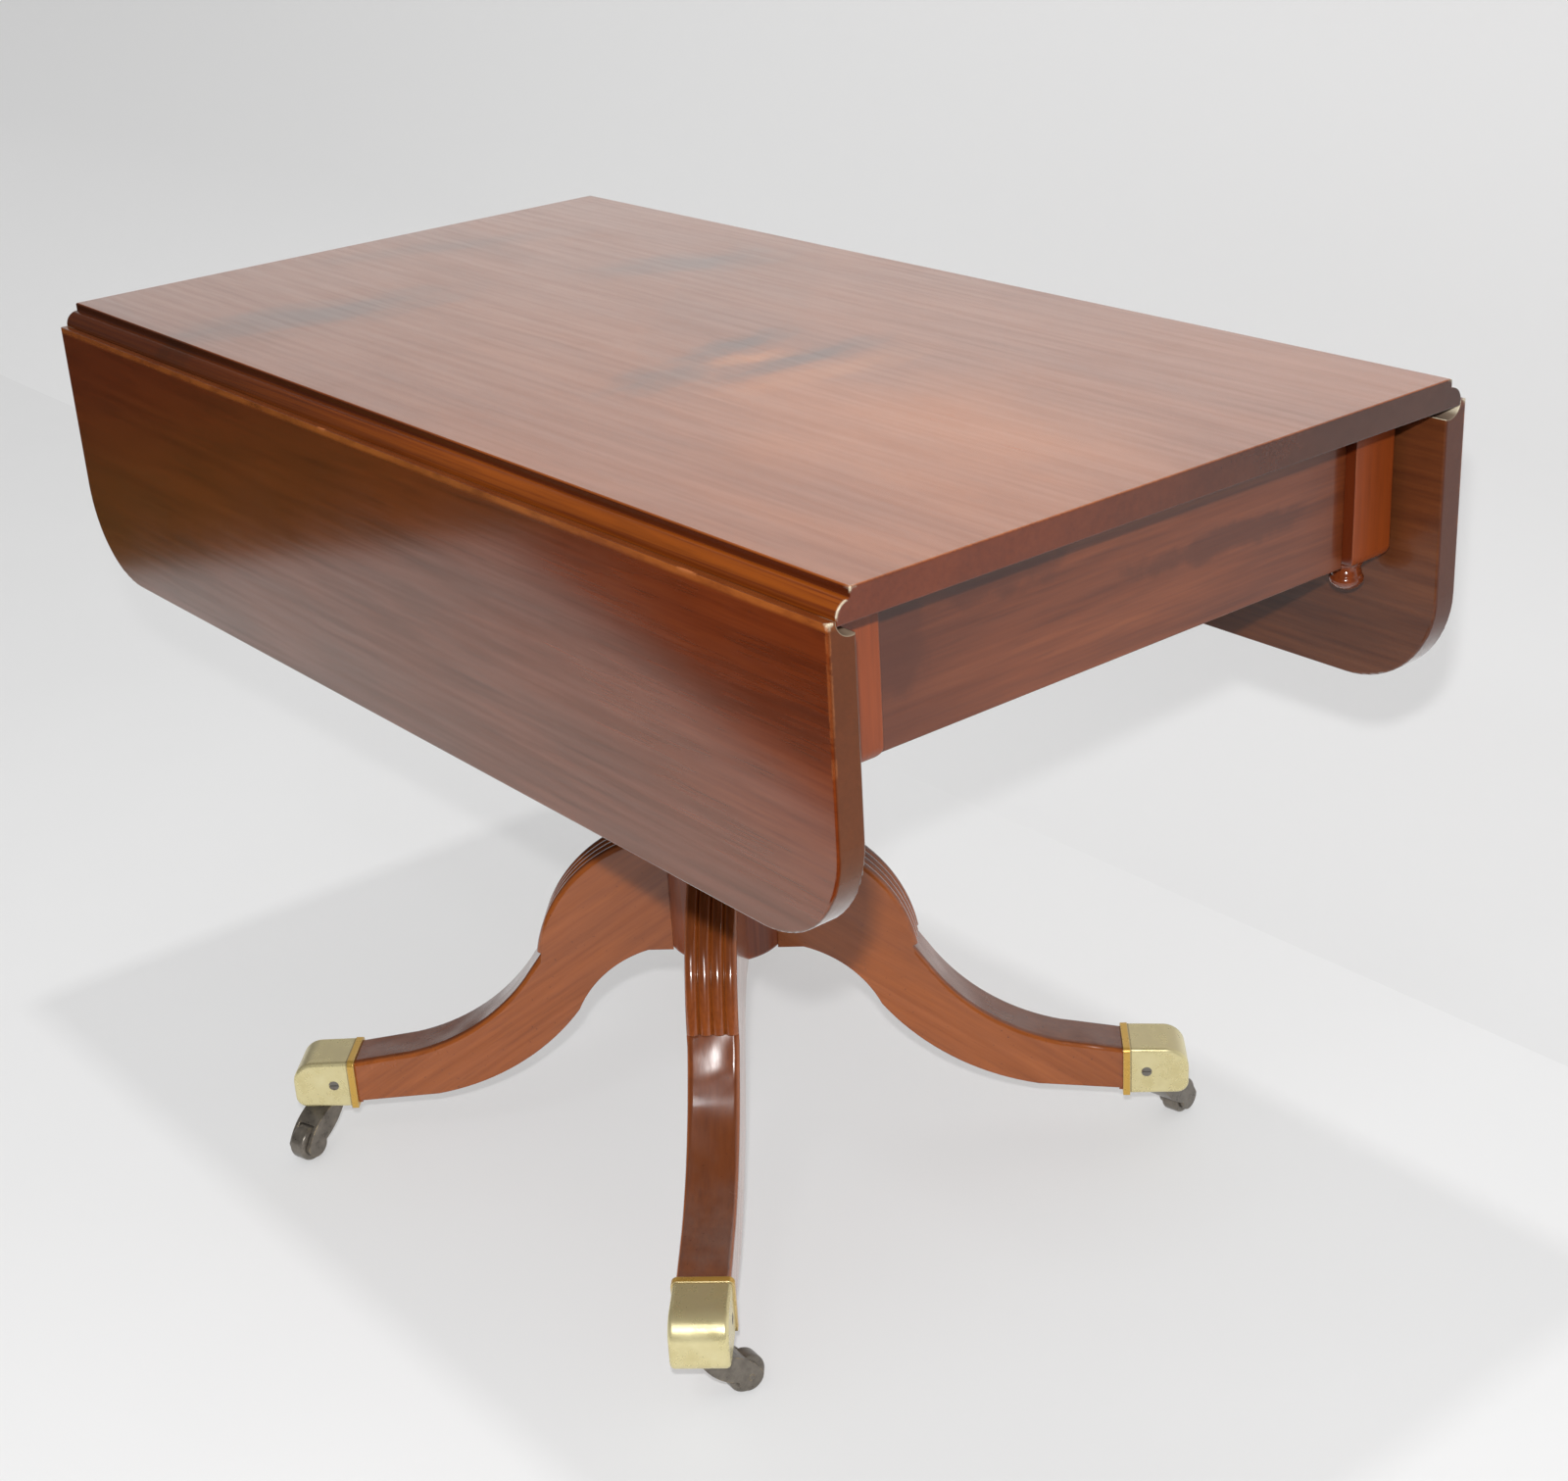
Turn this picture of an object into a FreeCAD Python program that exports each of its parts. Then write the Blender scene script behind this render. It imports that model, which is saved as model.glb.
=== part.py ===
import FreeCAD, Part
import math
import os

import Sketcher

# A pembroke table on a pedestal: a fixed centre top with a hinged leaf along each long side, a frieze
# frame with a square post and a turned drop at each corner, fly brackets that swing out under the raised
# leaves, a turned column, and four reeded sabre legs in brass toe caps on swivelling castors.
#
# Frame: millimetres, +Z up, origin on the floor under the column's axis. X runs along the hinge lines.
# The near leaf hangs on the -Y side and the far leaf on the +Y side. Corners and legs are named as they
# lie when the table is seen from +X and -Y: front (+X -Y), right (+X +Y), back (-X +Y), left (-X -Y).

SIZES = {
    # top and leaves
    "table_height": 720.0,
    "top_length": 1016.0,
    "top_width": 538.0,
    "top_thickness": 21.0,
    "rule_fillet": 6.5,
    "rule_radius": 11.0,
    "rule_clearance": 0.3,
    "leaf_width": 218.0,
    "leaf_corner": 76.0,
    "edge_round": 1.8,
    "arris_round": 1.4,
    # rule joint hinges
    "hinge_share": 0.65,
    "hinge_width": 42.0,
    "hinge_gap": 0.5,
    "plate_length": 34.0,
    "strap_length": 56.0,
    "flap_thickness": 2.0,
    "hinge_pin_radius": 1.6,
    "pin_clearance": 0.05,
    # frieze frame
    "end_overhang": 37.0,
    "leaf_clearance": 7.0,
    "rail_height": 113.0,
    "rail_thickness": 20.0,
    "rail_setback": 9.0,
    "side_rail_thickness": 19.0,
    "post_size": 41.0,
    "post_round": 9.0,
    "tenon_thickness": 8.0,
    "tenon_length": 25.0,
    "tenon_shoulder": 14.0,
    "tenon_clearance": 0.1,
    # drop finials
    "finial_collar": 11.5,
    "finial_collar_height": 5.0,
    "finial_neck": 10.0,
    "finial_neck_height": 2.5,
    "finial_ball": 13.5,
    "finial_ball_height": 14.8,
    "finial_dowel": 6.0,
    # fly brackets
    "fly_share": 0.546,
    "fly_tip_gap": 20.0,
    "fly_rail_thickness": 20.0,
    "fly_thickness": 19.0,
    "fly_height": 90.0,
    "fly_tip_height": 46.0,
    "fly_top_gap": 0.6,
    "fly_finger_gap": 0.4,
    "fly_pin_radius": 3.0,
    "fly_pin_tail": 2.0,
    # bearers and pedestal block
    "bearer_spacing": 150.0,
    "bearer_thickness": 28.0,
    "bearer_tenon": 10.0,
    "block_length": 230.0,
    "block_width": 200.0,
    "block_thickness": 24.0,
    # column
    "pedestal_turn": 2.6,
    "hub_bottom": 197.0,
    "hub_height": 120.0,
    "hub_radius": 49.0,
    "hub_edge": 4.0,
    "hub_bead_share": 0.052,
    "base_neck": 25.0,
    "base_scotia_share": 0.104,
    "baluster_radius": 42.0,
    "baluster_share": 0.2825,
    "shaft_neck": 20.0,
    "shaft_bead": 4.0,
    "shaft_bead_share": 0.048,
    "capital_radius": 47.0,
    "capital_share": 0.1265,
    "capital_edge_share": 0.3,
    "column_tenon": 19.0,
    "column_tenon_length": 20.0,
    "dovetail_height": 100.0,
    "dovetail_depth": 16.0,
    "dovetail_neck": 14.0,
    "dovetail_flare": 3.0,
    # sabre legs
    "leg_width": 42.0,
    "leg_crown": 5.0,
    "reed_count": 4.0,
    "reed_height": 4.5,
    "reed_arc_radius": 134.5,
    "reed_arc_reach": 30.0,
    "reed_arc_rise": 24.0,
    "reed_end_angle": 10.0,
    "leg_root_reach": 66.0,
    "knee_radius": 105.0,
    "shin_reach": 130.0,
    "shin_drop": 57.0,
    "shin_radius": 215.0,
    "sweep_setback": 72.0,
    "sweep_rise": 6.0,
    "top_sweep_start": 171.0,
    "top_sweep_drop": 20.0,
    "top_sweep_radius": 182.0,
    "top_sweep_setback": 51.0,
    "top_sweep_rise": 8.5,
    "toe_reach": 334.0,
    "toe_lift": 5.5,
    "toe_height": 38.5,
    # iron plate under the hub
    "spider_thickness": 3.0,
    "spider_arm": 22.0,
    "spider_reach": 64.0,
    # toe caps
    "cap_length": 56.0,
    "cap_bottom": 46.5,
    "cap_side_wall": 1.5,
    "cap_wall": 3.0,
    "cap_top_wall": 2.0,
    "cap_nose_radius": 20.0,
    "cap_nose_height": 24.0,
    "cap_toe_radius": 10.0,
    "cap_crown": 3.5,
    "cap_fit": 0.15,
    "ring_width": 6.0,
    "ring_proud": 1.6,
    "cap_screw_setback": 36.0,
    "cap_screw_rise": 22.0,
    # castors
    "castor_setback": 24.0,
    "castor_trail": 33.0,
    "castor_plate_radius": 11.0,
    "castor_plate_height": 5.0,
    "castor_gap": 0.3,
    "castor_width": 24.0,
    "castor_arm": 11.0,
    "castor_stem_radius": 4.0,
    "castor_stem_length": 20.0,
    "wheel_radius": 15.5,
    "wheel_width": 16.0,
    "wheel_round": 3.0,
    "wheel_side_gap": 0.5,
    "wheel_top_gap": 1.5,
    "axle_radius": 2.5,
    # screws
    "screw_head": 4.5,
    "screw_shank": 2.0,
    "screw_sink": 2.6,
    "screw_slot": 0.9,
    "hinge_screw_length": 11.0,
    "long_screw_length": 40.0,
    "cap_screw_length": 12.0,
}

# turn of each castor about its own pin, in degrees, as the table stands
CASTOR_TURNS = {"front": 85.0, "right": 101.0, "back": 215.0, "left": -73.0}
CORNERS = {"front": (1, -1), "right": (1, 1), "back": (-1, 1), "left": (-1, -1)}
SIDES = {"near": -1, "far": 1}

Vector = FreeCAD.Vector
doc = FreeCAD.newDocument("pembroke_table")


class Size:
    """A length, angle or count: its number, and its formula in the sheet's names."""

    def __init__(self, value, text):
        self.value = value
        self.text = text

    def __add__(self, other):
        other = as_size(other)
        return Size(self.value + other.value, f"({self.text} + {other.text})")

    def __radd__(self, other):
        return as_size(other) + self

    def __sub__(self, other):
        other = as_size(other)
        return Size(self.value - other.value, f"({self.text} - {other.text})")

    def __rsub__(self, other):
        return as_size(other) - self

    def __mul__(self, other):
        other = as_size(other)
        return Size(self.value * other.value, f"({self.text} * {other.text})")

    def __rmul__(self, other):
        return as_size(other) * self

    def __truediv__(self, other):
        other = as_size(other)
        return Size(self.value / other.value, f"({self.text} / {other.text})")

    def __neg__(self):
        return Size(-self.value, f"(-1 * {self.text})")


def as_size(number):
    """A plain number as a Size."""
    if isinstance(number, Size):
        return number
    return Size(float(number), f"({number:.9g})")


def cos(angle):
    angle = as_size(angle)
    return Size(math.cos(math.radians(angle.value)), f"cos({angle.text})")


def sin(angle):
    angle = as_size(angle)
    return Size(math.sin(math.radians(angle.value)), f"sin({angle.text})")


def root(square):
    return Size(math.sqrt(square.value), f"sqrt({square.text})")


class Sheet:
    """The driving dimensions by name, kept in a spreadsheet of the document."""

    def __init__(self, sizes):
        cells = doc.addObject("Spreadsheet::Sheet", "Sizes")
        for row, (name, number) in enumerate(sizes.items(), start=1):
            cells.set(f"A{row}", name)
            cells.set(f"B{row}", str(number))
            cells.setAlias(f"B{row}", name)
        doc.recompute()

    def __getattr__(self, name):
        return Size(SIZES[name], f"Sizes.{name}")


s = Sheet(SIZES)
NIL = as_size(0)

# the legs stand on the diagonals, and the whole pedestal may be turned a little under the top
LEG_ANGLES = {
    "front": s.pedestal_turn - 45,
    "right": s.pedestal_turn + 45,
    "back": s.pedestal_turn + 135,
    "left": s.pedestal_turn + 225,
}


def bind(thing, **sizes):
    """Ties properties of a document object to formulas."""
    for name, size in sizes.items():
        thing.setExpression(name, as_size(size).text)


def seat(thing, x, y, z):
    """Ties the place of a document object to formulas."""
    for axis, size in (("x", x), ("y", y), ("z", z)):
        thing.setExpression(f"Placement.Base.{axis}", as_size(size).text)


def turn(thing, angle):
    """Turns a document object about the Z axis through its own origin."""
    angle = as_size(angle)
    thing.Placement = FreeCAD.Placement(Vector(0, 0, 0), FreeCAD.Rotation(Vector(0, 0, 1), angle.value))
    thing.setExpression("Placement.Rotation.Angle", angle.text)


def span(sign, inner, outer):
    """The low and high values of a stretch that lies on one side of a centre plane."""
    if sign > 0:
        return inner, outer
    return -outer, -inner


def around(middle, width):
    """The low and high values of a stretch about its middle."""
    return middle - width / 2, middle + width / 2


def box(name, x, y, z):
    """A block between low and high values along each axis."""
    block = doc.addObject("Part::Box", name)
    bind(block, Length=x[1] - x[0], Width=y[1] - y[0], Height=z[1] - z[0])
    seat(block, x[0], y[0], z[0])
    return block


def rod(name, radius, length, start, way, end_radius=None):
    """A cylinder, or a cone where an end radius is given, from a start point along a direction."""
    if end_radius is None:
        item = doc.addObject("Part::Cylinder", name)
        bind(item, Radius=radius, Height=length)
    else:
        item = doc.addObject("Part::Cone", name)
        bind(item, Radius1=radius, Radius2=end_radius, Height=length)
    item.Placement = FreeCAD.Placement(Vector(0, 0, 0), FreeCAD.Rotation(Vector(0, 0, 1), Vector(*way)))
    seat(item, *start)
    return item


def fuse(name, shapes):
    item = doc.addObject("Part::MultiFuse", name)
    item.Shapes = shapes
    return item


def group(name, shapes):
    """Separate solids kept as one sub-part."""
    item = doc.addObject("Part::Compound", name)
    item.Links = shapes
    return item


def cut(name, base, tools):
    item = doc.addObject("Part::Cut", name)
    item.Base = base
    item.Tool = tools[0] if len(tools) == 1 else fuse(name + "_cutters", tools)
    return item


class Screw:
    """A countersunk wood screw with a slotted head flush in a face, and the hole that it fills."""

    def __init__(self, name, length, face, way):
        head = rod(name + "_head", s.screw_head, s.screw_sink, face, way, s.screw_shank)
        shank = rod(name + "_shank", s.screw_shank, length, face, way)
        self.hole = fuse(name + "_hole", [head, shank])
        slot = box(name + "_slot", around(NIL, s.screw_head * 3), around(NIL, s.screw_slot),
                   around(NIL, s.screw_slot * 2))
        seated = group(name + "_slot_place", [slot])
        seated.Placement = FreeCAD.Placement(Vector(0, 0, 0),
                                             FreeCAD.Rotation(Vector(0, 0, 1), Vector(*way)))
        seat(seated, *face)
        self.solid = cut(name, self.hole, [seated])


def holes_of(screws):
    return [item.hole for item in screws]


def solids_of(screws):
    return [item.solid for item in screws]


def new_body(name):
    return doc.addObject("PartDesign::Body", name)


def new_sketch(body, plane, name, lift=None):
    """A sketch on one of the body's own origin planes, or lifted off it along the plane's normal."""
    item = body.newObject("Sketcher::SketchObject", f"{body.Name}_{name}_sketch")
    support = next(f for f in body.Origin.OriginFeatures if f.Role == plane)
    item.AttachmentSupport = [(support, "")]
    item.MapMode = "FlatFace"
    if lift is not None:
        item.setExpression("AttachmentOffset.Base.z", lift.text)
    return item


def arc_between(start, end, radius, way):
    """An arc from start to end; way is 1 where it turns left (anticlockwise) and -1 where it turns right."""
    chord = end - start
    middle = (start + end) * 0.5
    rise = math.sqrt(max(radius * radius - chord.Length ** 2 / 4, 0.0))
    normal = Vector(-chord.y, chord.x, 0)
    normal.normalize()
    centre = middle + normal * rise * way
    circle = Part.Circle(centre, Vector(0, 0, 1), radius)
    first, last = (start, end) if way > 0 else (end, start)
    angles = [math.atan2(p.y - centre.y, p.x - centre.x) for p in (first, last)]
    if angles[1] < angles[0]:
        angles[1] += 2 * math.pi
    return Part.ArcOfCircle(circle, *angles)


def draw(item, corners):
    """Draws a closed outline whose every corner and arc radius is tied to a formula.

    A corner is (x, y), reached by a line, or (x, y, radius, way), reached by an arc.
    """
    first = item.GeometryCount
    constraints = []
    formulas = []
    ends = []
    count = len(corners)
    for index, corner in enumerate(corners):
        before = corners[index - 1]
        start = Vector(as_size(before[0]).value, as_size(before[1]).value, 0)
        end = Vector(as_size(corner[0]).value, as_size(corner[1]).value, 0)
        if len(corner) == 2:
            item.addGeometry(Part.LineSegment(start, end), False)
            ends.append((1, 2))
        else:
            item.addGeometry(arc_between(start, end, as_size(corner[2]).value, corner[3]), False)
            ends.append((1, 2) if corner[3] > 0 else (2, 1))
    for index, corner in enumerate(corners):
        here = first + index
        following = first + (index + 1) % count
        finish = ends[index][1]
        begin = ends[(index + 1) % count][0]
        constraints.append(Sketcher.Constraint("Coincident", here, finish, following, begin))
        formulas.append(None)
        for kind, axis, size in (("DistanceX", -2, corner[0]), ("DistanceY", -1, corner[1])):
            size = as_size(size)
            if abs(size.value) < 1e-9:
                constraints.append(Sketcher.Constraint("PointOnObject", here, finish, axis))
                formulas.append(None)
            else:
                constraints.append(Sketcher.Constraint(kind, -1, 1, here, finish, size.value))
                formulas.append(size)
        if len(corner) > 2:
            radius = as_size(corner[2])
            constraints.append(Sketcher.Constraint("Radius", here, radius.value))
            formulas.append(radius)
    for number, formula in zip(item.addConstraint(constraints), formulas):
        if formula is not None:
            item.setExpression(f"Constraints[{number}]", formula.text)
    return item


def frame_corners(x, y):
    """The corners of a rectangle between low and high values."""
    return [(x[1], y[0]), (x[1], y[1]), (x[0], y[1]), (x[0], y[0])]


def feature(body, kind, item, name, **sizes):
    """A sketch-based feature of a body."""
    made = body.newObject(f"PartDesign::{kind}", f"{body.Name}_{name}")
    made.Profile = item
    bind(made, **sizes)
    body.Tip = made
    return made


def pad(body, item, name, length, both_ways=False, reverse=False):
    made = feature(body, "Pad", item, name, Length=length)
    made.SideType = "Symmetric" if both_ways else "One side"
    made.Reversed = reverse
    return made


def pocket(body, item, name, length, both_ways=False, reverse=False):
    made = feature(body, "Pocket", item, name, Length=length)
    made.SideType = "Symmetric" if both_ways else "One side"
    made.Reversed = reverse
    return made


def revolve(body, item, name, axis="V_Axis"):
    made = feature(body, "Revolution", item, name)
    made.ReferenceAxis = (item, [axis])
    made.Angle = 360.0
    return made


def polar(body, original, name, count):
    """Repeats a feature about the body's Z axis."""
    made = body.newObject("PartDesign::PolarPattern", f"{body.Name}_{name}")
    made.Originals = [original]
    made.Axis = (next(f for f in body.Origin.OriginFeatures if f.Role == "Z_Axis"), [""])
    made.Angle = 360.0
    made.Occurrences = count
    body.Tip = made
    return made


def round_edges(body, name, radius, wanted):
    """Rounds the edges of the body so far whose middle point is wanted."""
    doc.recompute()
    base = body.Tip
    names = []
    for index, edge in enumerate(base.Shape.Edges, start=1):
        middle = edge.valueAt((edge.FirstParameter + edge.LastParameter) / 2)
        if wanted(edge, middle):
            names.append(f"Edge{index}")
    made = body.newObject("PartDesign::Fillet", f"{body.Name}_{name}")
    made.Base = (base, names)
    bind(made, Radius=radius)
    body.Tip = made
    return made


# levels and places that several pieces share
half_length = s.top_length / 2
half_width = s.top_width / 2
underside = s.table_height - s.top_thickness
frame_bottom = underside - s.rail_height
# the hinge pin stands in the underside at the centre of the ovolo
pin_z = s.table_height - s.rule_fillet - s.rule_radius
pin_y = half_width
barrel = pin_z - underside
leaf_outer = pin_y + s.rule_radius + s.rule_fillet
leaf_inner = pin_y - barrel
flap_end = pin_y - barrel - s.hinge_gap
hinge_places = [-1 * half_length * s.hinge_share, NIL, half_length * s.hinge_share]

# the posts stand in from the top's ends and clear of the hanging leaves
post_front = half_length - s.end_overhang
post_back = post_front - s.post_size
post_outer = leaf_inner - s.leaf_clearance
post_inner = post_outer - s.post_size
post_x = post_front - s.post_size / 2
post_y = post_outer - s.post_size / 2
rail_outer = post_front - s.rail_setback
rail_inner = rail_outer - s.rail_thickness

parts = {}


def hinge_screw_spots(start, length):
    """The distances of a flap's two screws along it."""
    return [start + length * 0.3, start + length * 0.78]


def make_hinges(side, sign):
    """Three table hinges of one side: plates in the top, straps in the leaf, and their pins."""
    plates = []
    straps = []
    pins = []
    plate_screws = []
    strap_screws = []
    third = s.hinge_width / 3
    for number, x in enumerate(hinge_places, start=1):
        name = f"{side}_hinge_{number}"
        across = around(x, s.hinge_width)
        outer_knuckles = [(across[0], across[0] + third - s.hinge_gap / 2),
                          (across[1] - third + s.hinge_gap / 2, across[1])]
        middle_knuckle = around(x, third - s.hinge_gap)
        plate_z = (underside, underside + s.flap_thickness)
        flap = box(f"{name}_plate_flap", across, span(sign, flap_end - s.plate_length, flap_end), plate_z)
        pieces = [flap]
        for end, reach in enumerate(outer_knuckles):
            web = box(f"{name}_plate_web_{end}", reach, span(sign, flap_end, pin_y), plate_z)
            start = (reach[0], sign * pin_y, pin_z)
            knuckle = rod(f"{name}_plate_knuckle_{end}", barrel, reach[1] - reach[0], start, (1, 0, 0))
            pieces += [web, knuckle]
        bore = rod(f"{name}_plate_bore", s.hinge_pin_radius + s.pin_clearance, s.hinge_width,
                   (across[0], sign * pin_y, pin_z), (1, 0, 0))
        holes = []
        for spot, y in enumerate(hinge_screw_spots(flap_end - s.plate_length, s.plate_length)):
            place = (x, sign * y, underside)
            holes.append(Screw(f"{name}_plate_screw_{spot}", s.hinge_screw_length, place, (0, 0, 1)))
        plate_screws += holes
        plates.append(cut(f"{name}_plate", fuse(f"{name}_plate_blank", pieces), [bore] + holes_of(holes)))

        strap_y = span(sign, leaf_inner, leaf_inner + s.flap_thickness)
        strap_top = pin_z - barrel - s.hinge_gap
        flap = box(f"{name}_strap_flap", across, strap_y, (strap_top - s.strap_length, strap_top))
        web = box(f"{name}_strap_web", middle_knuckle, strap_y, (strap_top, pin_z))
        start = (middle_knuckle[0], sign * pin_y, pin_z)
        knuckle = rod(f"{name}_strap_knuckle", barrel, third - s.hinge_gap, start, (1, 0, 0))
        bore = rod(f"{name}_strap_bore", s.hinge_pin_radius + s.pin_clearance, s.hinge_width,
                   (across[0], sign * pin_y, pin_z), (1, 0, 0))
        holes = []
        for spot, z in enumerate(hinge_screw_spots(NIL, s.strap_length)):
            place = (x, sign * leaf_inner, strap_top - z)
            holes.append(Screw(f"{name}_strap_screw_{spot}", s.hinge_screw_length, place, (0, sign, 0)))
        strap_screws += holes
        blank = fuse(f"{name}_strap_blank", [flap, web, knuckle])
        straps.append(cut(f"{name}_strap", blank, [bore] + holes_of(holes)))
        pins.append(rod(f"{name}_pin", s.hinge_pin_radius, s.hinge_width,
                        (across[0], sign * pin_y, pin_z), (1, 0, 0)))
    parts[f"{side}_hinge_plates"] = group(f"{side}_hinge_plates", plates)
    parts[f"{side}_hinge_straps"] = group(f"{side}_hinge_straps", straps)
    parts[f"{side}_hinge_pins"] = group(f"{side}_hinge_pins", pins)
    parts[f"{side}_strap_screws"] = group(f"{side}_strap_screws", solids_of(strap_screws))
    return plate_screws, strap_screws


def hinge_recesses(side, sign):
    """What is cut from the underside of the top for one side's hinges."""
    cutters = []
    swing_depth = underside + s.flap_thickness + s.hinge_gap
    for number, x in enumerate(hinge_places, start=1):
        name = f"{side}_recess_{number}"
        seat_y = span(sign, flap_end - s.plate_length, flap_end)
        swing_y = span(sign, flap_end, pin_y + s.rule_radius * 1.5)
        wide = around(x, s.hinge_width + s.hinge_gap * 2)
        below = underside - s.flap_thickness
        cutters.append(box(f"{name}_seat", around(x, s.hinge_width), seat_y,
                           (below, underside + s.flap_thickness)))
        cutters.append(box(f"{name}_swing", wide, swing_y, (below, swing_depth)))
        cutters.append(rod(f"{name}_groove", barrel + s.hinge_gap, wide[1] - wide[0],
                           (wide[0], sign * pin_y, pin_z), (1, 0, 0)))
    return cutters


def make_top(plate_screws):
    """The fixed centre of the top: an ovolo and fillet along each hinged side."""
    body = new_body("centre_top_board")
    item = new_sketch(body, "YZ_Plane", "profile")
    foot = pin_y + root(s.rule_radius * s.rule_radius - barrel * barrel)
    brow = s.table_height - s.rule_fillet
    draw(item, [
        (foot, underside),
        (pin_y, brow, s.rule_radius, 1),
        (pin_y, s.table_height),
        (-pin_y, s.table_height),
        (-pin_y, brow),
        (-foot, underside, s.rule_radius, 1),
    ])
    pad(body, item, "board", s.top_length, both_ways=True)
    round_edges(body, "arris", s.arris_round, lambda edge, at: at.z > s.table_height.value - 0.01)
    cutters = holes_of(plate_screws)
    for side, sign in SIDES.items():
        cutters += hinge_recesses(side, sign)
    parts["centre_top"] = cut("centre_top", body, cutters)


def make_leaf(side, sign, strap_screws):
    """A drop leaf, hanging: two rounded corners below, the cove of the rule joint above."""
    body = new_body(f"{side}_leaf_board")
    outer = sign * leaf_outer
    item = new_sketch(body, "XZ_Plane", "outline", lift=-outer)
    top = pin_z - s.rule_clearance
    low = pin_z - s.leaf_width
    draw(item, [
        (half_length, low + s.leaf_corner, s.leaf_corner, 1),
        (half_length, top),
        (-half_length, top),
        (-half_length, low + s.leaf_corner),
        (s.leaf_corner - half_length, low, s.leaf_corner, 1),
        (half_length - s.leaf_corner, low),
    ])
    pad(body, item, "board", s.top_thickness, reverse=sign < 0)
    round_edges(body, "rim", s.edge_round,
                lambda edge, at: min(abs(at.y - outer.value), abs(at.y - sign * leaf_inner.value)) < 0.01
                and at.z < top.value - 0.01)
    groove = new_sketch(body, "YZ_Plane", "cove")
    cove = s.rule_radius + s.rule_clearance
    centre = sign * pin_y
    draw(groove, [
        (centre + cove, pin_z, cove, 1),
        (centre, pin_z + cove, cove, 1),
        (centre - cove, pin_z, cove, 1),
        (centre, pin_z - cove, cove, 1),
    ])
    pocket(body, groove, "cove", s.top_length * 2, both_ways=True)
    recesses = []
    for number, x in enumerate(hinge_places, start=1):
        strap_y = span(sign, leaf_inner - s.flap_thickness, leaf_inner + s.flap_thickness)
        strap_top = pin_z - barrel - s.hinge_gap
        recesses.append(box(f"{side}_strap_recess_{number}", around(x, s.hinge_width), strap_y,
                            (strap_top - s.strap_length, strap_top)))
    parts[f"{side}_leaf"] = cut(f"{side}_leaf", body, recesses + holes_of(strap_screws))


# the tenons of the end rails and the side rails pass each other inside the post
end_tenon_x = around(rail_outer - s.rail_thickness / 2, s.tenon_thickness)
side_rail_inner = post_inner
side_rail_outer = post_inner + s.side_rail_thickness
side_tenon_y = around(post_inner + s.side_rail_thickness / 2, s.tenon_thickness)
side_tenon_end = end_tenon_x[0] - s.tenon_clearance * 4
tenon_z = (frame_bottom + s.tenon_shoulder, underside - s.tenon_shoulder)

# the dowel of a drop stops short of the tenon above it
dowel_length = s.tenon_shoulder * 0.75


def grown(stretch, by):
    return stretch[0] - by, stretch[1] + by


def make_rails():
    """End rails and inner side rails with their tenons."""
    full_z = (frame_bottom, underside)
    for name, sign in (("front_end_rail", 1), ("back_end_rail", -1)):
        board = box(f"{name}_board", span(sign, rail_inner, rail_outer), (-post_inner, post_inner), full_z)
        reach = post_inner + s.tenon_length
        tongue = box(f"{name}_tenons", span(sign, *end_tenon_x), (-reach, reach), tenon_z)
        parts[name] = fuse(name, [board, tongue])
    for side, sign in SIDES.items():
        name = f"{side}_side_rail"
        board = box(f"{name}_board", (-post_back, post_back), span(sign, side_rail_inner, side_rail_outer),
                    full_z)
        tongue = box(f"{name}_tenons", (-side_tenon_end, side_tenon_end), span(sign, *side_tenon_y), tenon_z)
        housings = []
        for end, x in bearer_places():
            fit = s.tenon_clearance
            housings.append(box(f"{name}_housing_{end}", grown(bearer_tongue_x(x), fit),
                                span(sign, side_rail_inner - s.bearer_tenon,
                                     side_rail_inner + s.bearer_tenon + fit), grown(bearer_tongue_z(), fit)))
        parts[name] = cut(name, fuse(f"{name}_blank", [board, tongue]), housings)


def make_post(corner, sx, sy):
    """A square corner post with rounded lower edges, mortised for two rails and bored for its drop."""
    body = new_body(f"{corner}_post_block")
    item = new_sketch(body, "XY_Plane", "section", lift=frame_bottom)
    draw(item, frame_corners(span(sx, post_back, post_front), span(sy, post_inner, post_outer)))
    pad(body, item, "block", s.rail_height)
    round_edges(body, "foot", s.post_round, lambda edge, at: at.z < frame_bottom.value + 0.01)
    fit = s.tenon_clearance
    end_mortise = box(f"{corner}_end_mortise", span(sx, *grown(end_tenon_x, fit)),
                      span(sy, post_inner - s.tenon_length, post_inner + s.tenon_length + fit),
                      grown(tenon_z, fit))
    side_mortise = box(f"{corner}_side_mortise", span(sx, post_back - s.tenon_length, side_tenon_end + fit),
                       span(sy, *grown(side_tenon_y, fit)), grown(tenon_z, fit))
    hole = rod(f"{corner}_drop_hole", s.finial_dowel + fit, dowel_length + fit,
               (sx * post_x, sy * post_y, frame_bottom), (0, 0, 1))
    parts[f"{corner}_post"] = cut(f"{corner}_post", body, [end_mortise, side_mortise, hole])


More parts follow.
